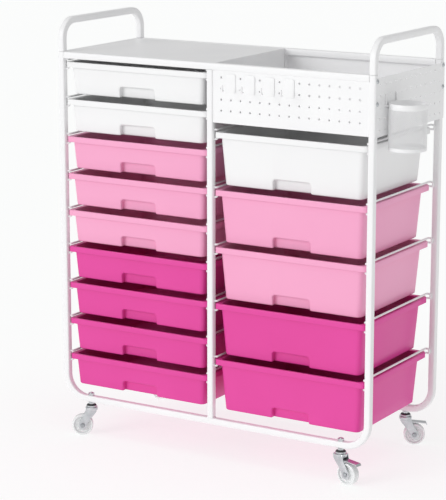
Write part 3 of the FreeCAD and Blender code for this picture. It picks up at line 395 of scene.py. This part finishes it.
front_board = pegboard("front_pegboard_sheet", FRONT_COLUMNS, FRONT_ROWS, FRONT_HOLE, FRONT_LOW, FRONT_HIGH)
shape(front_board)
for axis, edge in ((0, FRONT_LOW[0]), (0, FRONT_HIGH[0]), (2, FRONT_LOW[1]), (2, FRONT_HIGH[1])):
    choose(front_board, "EDGE", lambda middle, run: abs(middle[axis] - edge) < 0.1
           and abs(run[axis]) < 0.1 and abs(middle.y) < 0.1)
    bpy.ops.mesh.extrude_region_move(TRANSFORM_OT_translate={"value": (0, FRONT_FOLD * MM, 0)})
bpy.ops.mesh.select_all(action="SELECT")
bpy.ops.mesh.normals_make_consistent(inside=False)
settle()
front_board.location.y = FRONT_BOARD_Y * MM
settle_place(front_board)
thicken(front_board)
fit(front_board, white_coat, "cart_frame", "white_metal", "front_pegboard")

side_board = pegboard("side_pegboard_sheet", SIDE_COLUMNS, SIDE_ROWS, SIDE_HOLE, SIDE_LOW, SIDE_HIGH)
thicken(side_board)
side_board.rotation_euler.z = math.pi / 2
side_board.location.x = (HALF_WIDTH + SHEET / 2) * MM
settle_place(side_board)
fit(side_board, white_coat, "cart_frame", "white_metal", "side_pegboard")

# Screws: domed zinc heads with a round socket, four through the side pegboard and one
# through each left upright into the handle's leg.
SCREW_HIGH, SCREW_LOW = 930, 880
SCREW_SHANK = 2.4
SCREW_LENGTH = 9
zinc = Finish("bright zinc", Metallic=1.0, Roughness=0.3)
zinc_cloud = zinc.noise(60.0, 3.0)
zinc_grain = zinc.noise(900.0, 2.0, 0.5, (1.0, 1.0, 0.25))
zinc.feed(Base_Color=zinc.blend(zinc_cloud, rgb(0.42, 0.44, 0.46), rgb(0.78, 0.80, 0.82)),
          Roughness=zinc_grain * 0.22 + 0.2)
zinc.bump(zinc_grain, 0.08, 0.0003)


def screw_head(name):
    """Domed head standing on z 0 with its shank below."""
    settle()
    bpy.ops.mesh.primitive_circle_add(vertices=24, radius=SCREW_SHANK * MM, fill_type="NGON",
                                      location=(0, 0, -SCREW_LENGTH * MM))
    head = bpy.context.object
    head.name = name
    settle_place(head)
    shape(head)
    bpy.ops.mesh.select_all(action="SELECT")
    outline = [(0, SCREW_SHANK), (0, 5.5), (0.7, 5.4), (1.7, 4.4), (2.3, 3.0), (2.6, 1.9), (1.0, 1.7)]
    height, radius = -SCREW_LENGTH, SCREW_SHANK
    for next_height, next_radius in outline:
        bpy.ops.mesh.extrude_region_move(
            TRANSFORM_OT_translate={"value": (0, 0, (next_height - height) * MM)})
        bpy.ops.transform.resize(value=(next_radius / radius, next_radius / radius, 1),
                                 center_override=(0, 0, next_height * MM))
        height, radius = next_height, next_radius
    bpy.ops.mesh.select_all(action="SELECT")
    bpy.ops.mesh.normals_make_consistent(inside=False)
    settle()
    finish_modifiers(head, 40)
    return head


def screw_row(name, sign, x, places, node):
    """Like screws at (y, z) places, their heads towards +X or -X."""
    pattern = screw_head("screw_pattern")
    pattern.rotation_euler.y = sign * math.pi / 2
    settle_place(pattern)
    screws = [copy_to(pattern, "screw", x, y, z) for y, z in places]
    bpy.data.objects.remove(pattern)
    fit(join(name, screws), zinc, "cart_frame", "screw_zinc", node)


screw_row("side_panel_screws", 1, HALF_WIDTH + SHEET,
          [(y, z) for y in (-UPRIGHT_Y, UPRIGHT_Y) for z in (SCREW_HIGH, SCREW_LOW)], "panel_screws")
screw_row("left_grip_screws", -1, -HALF_WIDTH, [(-UPRIGHT_Y, SCREW_HIGH), (UPRIGHT_Y, SCREW_HIGH)],
          "handle_screws")

# Runners: 5 mm wire bent into a long loop for each side of each drawer. The upper wire keeps
# the lip down, the lower wire carries it, and the ends are welded to the uprights.
SHALLOW_TOP, SHALLOW_STEP = 920, 90
DEEP_TOP, DEEP_STEP = 785, 135
SHALLOW_RIMS = [SHALLOW_TOP - SHALLOW_STEP * index for index in range(9)]
DEEP_RIMS = [DEEP_TOP - DEEP_STEP * index for index in range(5)]
WIRE = 5
WIRE_BEND = 2.9
WIRE_IN, LOOP_OUT = 6, 3.6
UPPER_WIRE, LOWER_WIRE, WIRE_FOOT = 5.2, -5.3, -17
WIRE_FRONT, LOWER_FRONT, WIRE_REAR = -165, -151, 155.8


def runner_set(node, face_x, inward, rims):
    """All loops on one side of a column; their heights are measured from the drawers' rims."""
    inside = face_x + inward * WIRE_IN
    outside = face_x - inward * LOOP_OUT
    upper, lower, foot = (rims[0] + height for height in (UPPER_WIRE, LOWER_WIRE, WIRE_FOOT))
    loop = bent_bar(node.replace("runners", "wires"),
                    [(face_x, WIRE_FRONT, upper), (inside, WIRE_FRONT, upper), (inside, WIRE_REAR, upper),
                     (outside, WIRE_REAR, upper), (outside, WIRE_REAR, lower), (inside, WIRE_REAR, lower),
                     (inside, LOWER_FRONT, lower), (inside, WIRE_FRONT, foot), (face_x, WIRE_FRONT, foot)],
                    WIRE_BEND, WIRE, steps=4, sides=10)
    repeat = loop.modifiers.new("Repeat", "ARRAY")
    repeat.use_relative_offset = False
    repeat.use_constant_offset = True
    repeat.constant_offset_displace = (0, 0, (rims[1] - rims[0]) * MM)
    repeat.count = len(rims)
    finish_modifiers(loop, 50)
    fit(loop, white_coat, "cart_frame", "white_metal", node)


runner_set("left_outer_runners", -RAIL_END, 1, SHALLOW_RIMS)
runner_set("left_inner_runners", -TUBE / 2, -1, SHALLOW_RIMS)
runner_set("right_inner_runners", TUBE / 2, 1, DEEP_RIMS)
runner_set("right_outer_runners", RAIL_END, -1, DEEP_RIMS)

# Drawers: moulded plastic trays with 2 mm walls that taper to the floor, a rolled lip that
# hangs on the wires, and a finger pull pressed into the foot of the front wall.
COLUMN_X = 208
WALL = 2
SLOPE = math.tan(math.radians(4))
BODY_HALF_X, BODY_HALF_Y, BODY_Y = 185.25, 151.2, -12.8
LIP_HALF_X, LIP_HALF_Y, LIP_Y = 199.25, 161.7, -9.3
LIP_DROP = 13
CORNER = 11
FOLD_ROUND = 2.6
NOTCH_IN, NOTCH_OUT, NOTCH_BACK = 188, 197, 151
PULL_HALF, PULL_HIGH, PULL_DEEP, PULL_CORNER = 50.5, 26, 12, 9
SHALLOW_HEIGHT, DEEP_HEIGHT = 77, 124


def plastic(name, light, shade):
    """Moulded plastic: a soft sheen, faint clouds in the colour and a very fine grain."""
    body = Finish(name, Roughness=0.36, Specular_IOR_Level=0.35, Coat_Weight=0.08)
    cloud = body.noise(5.0, 2.0)
    grain = body.noise(480.0, 2.0)
    body.feed(Base_Color=body.blend(cloud, shade, light), Roughness=cloud * 0.14 + 0.27 + grain * 0.05)
    body.bump(grain, 0.07, 0.0003)
    return body


drawer_finish = {
    "drawer_white": plastic("white plastic", rgb(0.91, 0.91, 0.915), rgb(0.87, 0.87, 0.875)),
    "drawer_light_pink": plastic("light pink plastic", rgb(0.93, 0.41, 0.62), rgb(0.89, 0.37, 0.58)),
    "drawer_magenta": plastic("magenta plastic", rgb(0.79, 0.065, 0.37), rgb(0.73, 0.052, 0.32))}


def moulded_drawer(name, height):
    """Drawer with its rim at z 0 and its middle at x 0, drawn as the skin that faces up and in."""
    floor = -height + WALL
    half_x = BODY_HALF_X + SLOPE * floor
    half_y = BODY_HALF_Y + SLOPE * floor
    settle()
    bpy.ops.mesh.primitive_plane_add(size=2 * MM, location=(0, BODY_Y * MM, floor * MM))
    tray = bpy.context.object
    tray.name = name
    tray.scale = (half_x, half_y, 1)
    settle_place(tray)
    shape(tray)
    bpy.ops.mesh.select_all(action="SELECT")
    bpy.ops.mesh.bevel(offset=CORNER * MM, segments=5, affect="VERTICES")
    bpy.ops.mesh.extrude_region_move(TRANSFORM_OT_translate={"value": (0, 0, -floor * MM)})
    bpy.ops.transform.resize(value=(BODY_HALF_X / half_x, BODY_HALF_Y / half_y, 1),
                             center_override=(0, BODY_Y * MM, 0))
    bpy.ops.mesh.extrude_region_move(TRANSFORM_OT_translate={"value": (0, (LIP_Y - BODY_Y) * MM, 0)})
    bpy.ops.transform.resize(value=(LIP_HALF_X / BODY_HALF_X, LIP_HALF_Y / BODY_HALF_Y, 1),
                             center_override=(0, LIP_Y * MM, 0))
    bpy.ops.mesh.extrude_region_move(TRANSFORM_OT_translate={"value": (0, 0, -LIP_DROP * MM)})
    bpy.ops.mesh.delete(type="ONLY_FACE")
    cut_pull(tray, floor, BODY_Y - half_y)
    for plane in (-NOTCH_OUT, -NOTCH_IN, NOTCH_IN, NOTCH_OUT):
        bpy.ops.mesh.select_all(action="SELECT")
        bpy.ops.mesh.bisect(plane_co=(plane * MM, 0, 0), plane_no=(1, 0, 0))
    choose(tray, "FACE", lambda middle, normal: middle.y > NOTCH_BACK and middle.z < -1
           and NOTCH_IN < abs(middle.x) < NOTCH_OUT)
    bpy.ops.mesh.delete(type="FACE")
    bpy.ops.mesh.select_all(action="SELECT")
    bpy.ops.mesh.remove_doubles(threshold=0.05 * MM)
    bpy.ops.mesh.normals_make_consistent(inside=False)
    bpy.ops.object.mode_set(mode="OBJECT")
    lowest = min(tray.data.polygons, key=lambda face: face.center.z)
    if lowest.normal.z > 0:
        shape(tray)
        bpy.ops.mesh.select_all(action="SELECT")
        bpy.ops.mesh.flip_normals()
    settle()
    rounding = tray.modifiers.new("Round", "BEVEL")
    rounding.width = FOLD_ROUND * MM
    rounding.segments = 3
    rounding.limit_method = "ANGLE"
    rounding.angle_limit = math.radians(30)
    rounding.use_clamp_overlap = True
    wall = tray.modifiers.new("Wall", "SOLIDIFY")
    wall.thickness = WALL * MM
    wall.offset = 1
    wall.use_even_offset = True
    finish_modifiers(tray, 38)
    return tray


def cut_pull(tray, floor, front):
    """Press the finger pull into the foot of the front wall; it is open at the bottom."""
    half, high, back = PULL_HALF, floor + PULL_HIGH, front + PULL_DEEP
    for place, normal in (((-half, 0, 0), (1, 0, 0)), ((half, 0, 0), (1, 0, 0)), ((0, 0, high), (0, 0, 1))):
        bpy.ops.mesh.select_all(action="SELECT")
        bpy.ops.mesh.bisect(plane_co=Vector(place) * MM, plane_no=normal)
    choose(tray, "FACE", lambda middle, normal: abs(middle.z - floor) < 0.1)
    bpy.ops.mesh.bisect(plane_co=(0, back * MM, 0), plane_no=(0, 1, 0))
    choose(tray, "FACE", lambda middle, normal: middle.y < front + 1 and abs(middle.x) < half
           and floor + 1 < middle.z < high)
    bpy.ops.mesh.extrude_region_move(TRANSFORM_OT_translate={"value": (0, PULL_DEEP * MM, 0)})
    choose(tray, "FACE", lambda middle, normal: abs(middle.z - floor) < 0.1 and abs(middle.x) < half
           and middle.y < back)
    bpy.ops.mesh.delete(type="FACE")
    bpy.ops.mesh.select_all(action="SELECT")
    bpy.ops.mesh.remove_doubles(threshold=0.05 * MM)
    choose(tray, "EDGE", lambda middle, run: abs(abs(middle.x) - half) < 0.1 and abs(middle.z - high) < 0.1
           and abs(run.y) > 0.9 and middle.y < back + 2)
    bpy.ops.mesh.bevel(offset=PULL_CORNER * MM, segments=4, affect="EDGES")


def drawer_column(kind, column_x, height, rims, finishes):
    """Like drawers from the top down, each with the material slot of its colour."""
    pattern = moulded_drawer(kind + "_pattern", height)
    for index, (rim, slot) in enumerate(zip(rims, finishes), start=1):
        tray = copy_to(pattern, "%s_tray_%d" % (kind, index), column_x, 0, rim)
        node = "%s_drawer_%d" % (kind, index)
        fit(tray, drawer_finish[slot], node, slot, node)
    bpy.data.objects.remove(pattern)


drawer_column("shallow", -COLUMN_X, SHALLOW_HEIGHT, SHALLOW_RIMS,
              ["drawer_white"] * 2 + ["drawer_light_pink"] * 3 + ["drawer_magenta"] * 4)
drawer_column("deep", COLUMN_X, DEEP_HEIGHT, DEEP_RIMS,
              ["drawer_white"] + ["drawer_light_pink"] * 2 + ["drawer_magenta"] * 2)

# Hooks: a small white plate with two pegs behind it and a 5 mm rod that turns up at its end.
# They hang in every second hole of the two upper rows.
PANEL_Y = FRONT_BOARD_Y - SHEET / 2
UPPER_ROW = FRONT_HOLE[1] + (FRONT_ROWS - 1) * PITCH
LOWER_ROW = UPPER_ROW - PITCH
PLATE_HALF_X, PLATE_HALF_Z, PLATE = 13, 21.5, 2
PLATE_CORNER = 5
ROD = 5
ROD_OUT, ROD_UP, ROD_BEND = 38, 14, 6
PEG, PEG_IN = 4.4, 6.5
HOOK_COLUMNS = (1, 3, 5, 7)


def hook_pattern():
    """Hook in the middle of the cart's width: plate, rod and two pegs."""
    settle()
    bpy.ops.mesh.primitive_plane_add(size=2 * MM, rotation=(math.pi / 2, 0, 0),
                                     location=(0, (PANEL_Y - PLATE) * MM, (UPPER_ROW - PITCH / 2) * MM))
    plate = bpy.context.object
    plate.scale = (PLATE_HALF_X, PLATE_HALF_Z, 1)
    settle_place(plate)
    shape(plate)
    bpy.ops.mesh.select_all(action="SELECT")
    bpy.ops.mesh.bevel(offset=PLATE_CORNER * MM, segments=5, affect="VERTICES")
    bpy.ops.mesh.extrude_region_move(TRANSFORM_OT_translate={"value": (0, (PLATE - 0.1) * MM, 0)})
    bpy.ops.mesh.select_all(action="SELECT")
    bpy.ops.mesh.normals_make_consistent(inside=False)
    settle()
    edge = plate.modifiers.new("Edge", "BEVEL")
    edge.width = 0.6 * MM
    edge.segments = 2
    edge.limit_method = "ANGLE"
    arm = bent_bar("arm", [(0, PANEL_Y - PLATE / 2, LOWER_ROW), (0, PANEL_Y - ROD_OUT, LOWER_ROW),
                           (0, PANEL_Y - ROD_OUT, LOWER_ROW + ROD_UP)], ROD_BEND, ROD, steps=6, sides=14)
    rounding = arm.modifiers.new("Tip", "BEVEL")
    rounding.width = 1.4 * MM
    rounding.segments = 3
    rounding.limit_method = "ANGLE"
    rounding.angle_limit = math.radians(60)
    pegs = [bent_bar("peg", [(0, PANEL_Y - PLATE / 2, row), (0, PANEL_Y + PEG_IN, row)], 0, PEG, sides=12)
            for row in (UPPER_ROW, LOWER_ROW)]
    for part in [plate, arm] + pegs:
        finish_modifiers(part)
    return join("hook_pattern", [plate, arm] + pegs)


pattern = hook_pattern()
for number, column in enumerate(HOOK_COLUMNS, start=1):
    hook = copy_to(pattern, "hook_%d" % number, FRONT_HOLE[0] + column * PITCH)
    fit(hook, white_coat, "cart_frame", "hook_white", *(["peg_hooks"] if number == 1 else []))
bpy.data.objects.remove(pattern)

# Pen cup: expanded steel mesh rolled into a cylinder between a deep band at the rim and a
# narrow one round the solid floor. Two wires carry it from the side pegboard.
CUP_X, CUP_Y = 468.3, -4 * PITCH
CUP_RADIUS = 43
CUP_LOW, CUP_RIM = 773.65, 878.65
CUP_WALL = 1.4
CUP_SIDES = 56
RIM_BAND, FOOT_BAND = 13, 8
NET = 1.1
NET_RADIUS = CUP_RADIUS - 0.6
CUP_WIRE, CUP_WIRE_BEND = 3, 2.2
CUP_WIRE_TOP, CUP_WIRE_LOW, CUP_WIRE_X = 896.65, 872.15, 426.8


def turned(name, outline, sides, closed=False, degrees=40):
    """Piece turned about the upright axis from its outline of (height, radius) pairs."""
    height, radius = outline[0]
    settle()
    bpy.ops.mesh.primitive_circle_add(vertices=sides, radius=radius * MM, location=(0, 0, height * MM))
    piece = bpy.context.object
    piece.name = name
    settle_place(piece)
    shape(piece)
    bpy.ops.mesh.select_mode(type="EDGE")
    bpy.ops.mesh.select_all(action="SELECT")
    for next_height, next_radius in outline[1:] + (outline[:1] if closed else []):
        bpy.ops.mesh.extrude_region_move(
            TRANSFORM_OT_translate={"value": (0, 0, (next_height - height) * MM)})
        bpy.ops.transform.resize(value=(next_radius / radius, next_radius / radius, 1),
                                 center_override=(0, 0, next_height * MM))
        height, radius = next_height, next_radius
    bpy.ops.mesh.select_all(action="SELECT")
    bpy.ops.mesh.remove_doubles(threshold=0.01 * MM)
    bpy.ops.mesh.fill_holes(sides=0)
    bpy.ops.mesh.normals_make_consistent(inside=False)
    settle()
    finish_modifiers(piece, degrees)
    return piece


def cup_mesh(low, high, rows=17):
    """Diamond mesh round the cup, from the height low to the height high."""
    step = (high - low) / rows
    settle()
    bpy.ops.mesh.primitive_circle_add(vertices=CUP_SIDES, radius=NET_RADIUS * MM, location=(0, 0, low * MM))
    net = bpy.context.object
    settle_place(net)
    shape(net)
    bpy.ops.mesh.select_mode(type="EDGE")
    bpy.ops.mesh.select_all(action="SELECT")
    for row in range(rows):
        bpy.ops.mesh.extrude_region_move(TRANSFORM_OT_translate={"value": (0, 0, step * MM)})
    bpy.ops.mesh.select_all(action="SELECT")
    bpy.ops.mesh.poke()
    choose(net, "EDGE", lambda middle, run: abs(run.z) > 0.99
           or (abs(run.z) < 0.01 and low + 1 < middle.z < high - 1))
    bpy.ops.mesh.dissolve_edges(use_verts=False)
    settle()
    wire = net.modifiers.new("Wire", "WIREFRAME")
    wire.thickness = NET * MM
    wire.use_even_offset = True
    finish_modifiers(net)
    return net


def band(low, high):
    """Rolled steel band with softened edges."""
    inner = CUP_RADIUS - CUP_WALL
    outline = [(low, inner), (low, CUP_RADIUS - 0.3), (low + 0.4, CUP_RADIUS), (high - 0.5, CUP_RADIUS),
               (high, CUP_RADIUS - 0.4), (high, inner + 0.3), (high - 0.4, inner)]
    return turned("band", outline, CUP_SIDES, closed=True)


cup_floor = [(CUP_LOW + 0.2, CUP_RADIUS - 0.8), (CUP_LOW + 1.2, CUP_RADIUS - 0.8)]
cup = join("pen_cup_body", [cup_mesh(CUP_LOW + FOOT_BAND - 1, CUP_RIM - RIM_BAND + 1),
                            band(CUP_RIM - RIM_BAND, CUP_RIM), band(CUP_LOW, CUP_LOW + FOOT_BAND),
                            turned("floor", cup_floor, CUP_SIDES)])
cup.location = (CUP_X * MM, CUP_Y * MM, 0)
settle_place(cup)
cup_wires = []
for reach in (-PITCH, PITCH):
    y = CUP_Y + reach
    end = CUP_X - math.sqrt(NET_RADIUS ** 2 - reach ** 2)
    wire = bent_bar("wire", [(HALF_WIDTH - 5, y, CUP_WIRE_TOP), (CUP_WIRE_X, y, CUP_WIRE_TOP),
                             (CUP_WIRE_X, y, CUP_WIRE_LOW), (end, y, CUP_WIRE_LOW)],
                    CUP_WIRE_BEND, CUP_WIRE, steps=5, sides=12)
    finish_modifiers(wire)
    cup_wires.append(wire)
cup = join("pen_cup_body", [cup] + cup_wires)
fit(cup, white_coat, "cart_frame", "cup_white", "pen_cup")

# Casters: a turned stem with its nut and ball race is riveted to a pressed fork that carries
# a clear plastic wheel. All four are alike; the two on the right have a brake lever.
CASTER_X = 347
CASTERS = {"front_left": (-CASTER_X, -UPRIGHT_Y, 121), "front_right": (CASTER_X, -UPRIGHT_Y, -100),
           "rear_left": (-CASTER_X, UPRIGHT_Y, 75), "rear_right": (CASTER_X, UPRIGHT_Y, -60)}
WHEEL_RADIUS = 26
TRAIL = 22
PLATE_TOP = 71.2
FORK_X, FORK_WALL, FORK_SHOULDER = 10.5, 2, 3.5
FORK_FOOT, FORK_FOOT_WIDTH = 15.4, 8
HEAD_Z = 68.5
clear = Finish("clear wheel plastic", Roughness=0.2, Transmission_Weight=0.12, IOR=1.46, Coat_Weight=0.5)
clear_cloud = clear.noise(40.0, 2.0)
clear.feed(Base_Color=clear.blend(clear_cloud, rgb(0.90, 0.92, 0.93), rgb(0.97, 0.98, 0.98)),
           Roughness=clear_cloud * 0.2 + 0.12)


def stem_pattern():
    """Shaft, hexagon nut and ball race in one, standing on the fork's plate."""
    race = [(71.6, 9), (71.6, 12.6), (72.4, 13), (74.6, 13), (75.4, 12.3), (75.4, 8)]
    shaft = [(65.2, 6.6), (65.2, 6.9), (67.6, 6.9), (67.9, 4), (107, 4), (107.9, 3.2)]
    nut = [(78, 6.6), (78.7, 7.4), (83.2, 7.4), (83.9, 6.6)]
    return join("stem_pattern", [turned("race", race, 40), turned("shaft", shaft, 24),
                                 turned("nut", nut, 6, degrees=20)])


def fork_pattern():
    """Half of the fork as a strap, mirrored, with a dished round head."""
    settle()
    bpy.ops.mesh.primitive_plane_add(size=1 * MM, location=(-FORK_X * MM, TRAIL * MM, FORK_FOOT * MM))
    strap = bpy.context.object
    strap.scale = (FORK_WALL, FORK_FOOT_WIDTH, 1)
    settle_place(strap)
    shape(strap)
    bpy.ops.mesh.select_all(action="SELECT")
    here, width = Vector((0, TRAIL, FORK_FOOT)), FORK_FOOT_WIDTH
    widths = [(TRAIL, 17.2, 14), (TRAIL, 21, 18.5), (TRAIL - 0.3, 26, 20), (TRAIL - 3, 33, 21),
              (12, 44, 22.5), (5, 54, 25.5), (1, 61, 27), (0, 68.2, 27), (0, PLATE_TOP, 27)]
    for y, z, next_width in widths:
        bpy.ops.mesh.extrude_region_move(
            TRANSFORM_OT_translate={"value": Vector((0, y - here.y, z - here.z)) * MM})
        bpy.ops.transform.resize(value=(1, next_width / width, 1), center_override=(0, y * MM, z * MM))
        here, width = Vector((0, y, z)), next_width
    choose(strap, "FACE", lambda middle, normal: normal.x > 0.9 and middle.z > HEAD_Z)
    bpy.ops.mesh.extrude_region_move(TRANSFORM_OT_translate={"value": ((FORK_X - FORK_WALL / 2) * MM, 0, 0)})
    bpy.ops.mesh.delete(type="FACE")
    choose(strap, "EDGE", lambda middle, run: abs(run.y) > 0.9 and middle.x < -FORK_X - 0.5
           and middle.z > PLATE_TOP - 1)
    bpy.ops.mesh.bevel(offset=FORK_SHOULDER * MM, segments=4, affect="EDGES")
    bpy.ops.mesh.select_all(action="SELECT")
    bpy.ops.mesh.normals_make_consistent(inside=False)
    settle()
    mirror = strap.modifiers.new("Mirror", "MIRROR")
    mirror.merge_threshold = 0.02 * MM
    edge = strap.modifiers.new("Edge", "BEVEL")
    edge.width = 0.5 * MM
    edge.segments = 2
    edge.limit_method = "ANGLE"
    edge.angle_limit = math.radians(35)
    finish_modifiers(strap)
    dish = [(62.5, 7), (62.2, 12), (63.5, 14.6), (67, 15.4), (70, 14.9), (71.1, 13.6), (71.1, 5)]
    return join("fork_pattern", [strap, turned("dish", dish, 40)])


def across_fork(piece):
    """Lay an upright turned piece along X at the height of the axle."""
    piece.rotation_euler.y = math.pi / 2
    piece.location = (0, TRAIL * MM, WHEEL_RADIUS * MM)
    settle_place(piece)
    return piece


def wheel_pattern():
    """Wheel turned about X: hub, recessed web with a raised ring, and a rounded tread."""
    half = [(9, 3.06), (9, 7.4), (8.4, 8), (5.4, 8.8), (5, 9.4), (5, 14), (5.6, 14.6), (5.6, 15.4),
            (5, 16), (5, 20.2), (5.5, 20.8), (8.5, 21.2), (9, 21.8), (9, 23.6), (8.3, 25.1),
            (6.6, WHEEL_RADIUS)]
    outline = [(-height, radius) for height, radius in half] + half[::-1]
    return across_fork(turned("wheel_pattern", outline, 48, closed=True, degrees=30))


def axle_pattern():
    """Riveted axle with a washer under each of its round heads."""
    half = [(14, 3), (13.6, 4.4), (12.4, 5), (12, 5), (12, 6.4), (11.6, 6.4), (11.6, 3)]
    outline = [(-height, radius) for height, radius in half] + half[::-1]
    return across_fork(turned("axle_pattern", outline, 28, degrees=30))


def seal_pattern():
    """Rubber lip over the ball race."""
    outline = [(75.3, 8), (75.3, 11.9), (76.9, 11.4), (77.9, 9.6), (77.9, 8)]
    return turned("seal_pattern", outline, 40)


seal = Finish("black rubber", Roughness=0.55)
seal_cloud = seal.noise(300.0, 2.0)
seal.feed(Base_Color=seal.blend(seal_cloud, rgb(0.02, 0.02, 0.022), rgb(0.04, 0.04, 0.042)),
          Roughness=seal_cloud * 0.2 + 0.45)
rivet = Finish("axle steel", Metallic=1.0, Roughness=0.3)
rivet_cloud = rivet.noise(260.0, 3.0)
rivet.feed(Base_Color=rivet.blend(rivet_cloud, rgb(0.34, 0.36, 0.38), rgb(0.5, 0.52, 0.54)),
           Roughness=rivet_cloud * 0.2 + 0.2)
caster_parts = {"stem": (stem_pattern(), zinc, "caster_zinc", None),
                "fork": (fork_pattern(), zinc, "caster_zinc", "fork_"),
                "wheel": (wheel_pattern(), clear, "wheel_clear", "wheel_"),
                "axle": (axle_pattern(), rivet, "caster_zinc", "fork_"),
                "seal": (seal_pattern(), seal, "caster_zinc", None)}
for corner, (x, y, turn) in CASTERS.items():
    for part, (pattern, finish, slot, body) in caster_parts.items():
        piece = copy_to(pattern, "%s_of_%s_caster" % (part, corner), x, y, 0, turn)
        nodes = [] if part == "seal" else ["caster_%s_%s" % (part, corner)]
        fit(piece, finish, body + corner if body else "cart_frame", slot, *nodes)
for pattern, *_ in caster_parts.values():
    bpy.data.objects.remove(pattern)
for node in ("caster_nuts", "brake_lever_front_right", "brake_lever_rear_right"):
    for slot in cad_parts[node].material_slots:
        slot.material = zinc.material

# Floor, light and camera: a plain pale floor under soft studio light, seen from the right.
# The sky lights the cart less than it shows, so that the background stays nearly white.
FLOOR_SIZE = 40
SKY_LIGHT, SKY_SEEN = 0.52, 0.97
CAMERA_PLACE = (2.3720, -4.0137, 1.5134)
CAMERA_DOWN, CAMERA_TURN = 12.566, 31.314
CAMERA_LENS, CAMERA_SENSOR = 143.2, 36
settle()
bpy.ops.mesh.primitive_plane_add(size=FLOOR_SIZE, location=(0, 0, 0))
floor = bpy.context.object
floor.name = "studio_floor"
backdrop = Finish("pale floor", Roughness=0.9, Specular_IOR_Level=0.1, Emission_Strength=0.71)
backdrop_cloud = backdrop.noise(0.6, 1.0)
backdrop.feed(Base_Color=backdrop.blend(backdrop_cloud, rgb(0.315, 0.325, 0.32), rgb(0.325, 0.335, 0.33)))
floor.data.materials.append(backdrop.material)

world = bpy.data.worlds.new("studio")
world.use_nodes = True
sky = world.node_tree
background = sky.nodes["Background"]
background.inputs["Color"].default_value = rgb(1.0, 1.0, 1.0)
seen = sky.nodes.new("ShaderNodeLightPath")
level = sky.nodes.new("ShaderNodeMapRange")
level.inputs["To Min"].default_value = SKY_LIGHT
level.inputs["To Max"].default_value = SKY_SEEN
sky.links.new(seen.outputs["Is Camera Ray"], level.inputs["Value"])
sky.links.new(level.outputs["Result"], background.inputs["Strength"])
bpy.context.scene.world = world
bpy.context.scene.view_settings.view_transform = "Standard"


def soft_light(name, place, power, spread):
    """Even, distant light from the direction of a place, shining on the origin."""
    light = bpy.data.lights.new(name, "SUN")
    light.energy = power
    light.angle = math.radians(spread)
    lamp = bpy.data.objects.new(name, light)
    bpy.context.scene.collection.objects.link(lamp)
    lamp.location = place
    lamp.rotation_euler = (-Vector(place)).to_track_quat("-Z", "Y").to_euler()


soft_light("key", (-1.0, -1.9, 0.75), 1.1, 30)
soft_light("overhead", (0.2, -0.4, 4.0), 0.45, 50)

lens = bpy.data.cameras.new("camera")
lens.lens = CAMERA_LENS
lens.sensor_width = CAMERA_SENSOR
lens.clip_end = 100
camera = bpy.data.objects.new("camera", lens)
bpy.context.scene.collection.objects.link(camera)
camera.location = CAMERA_PLACE
camera.rotation_euler = (math.radians(90 - CAMERA_DOWN), 0, math.radians(CAMERA_TURN))
bpy.context.scene.camera = camera
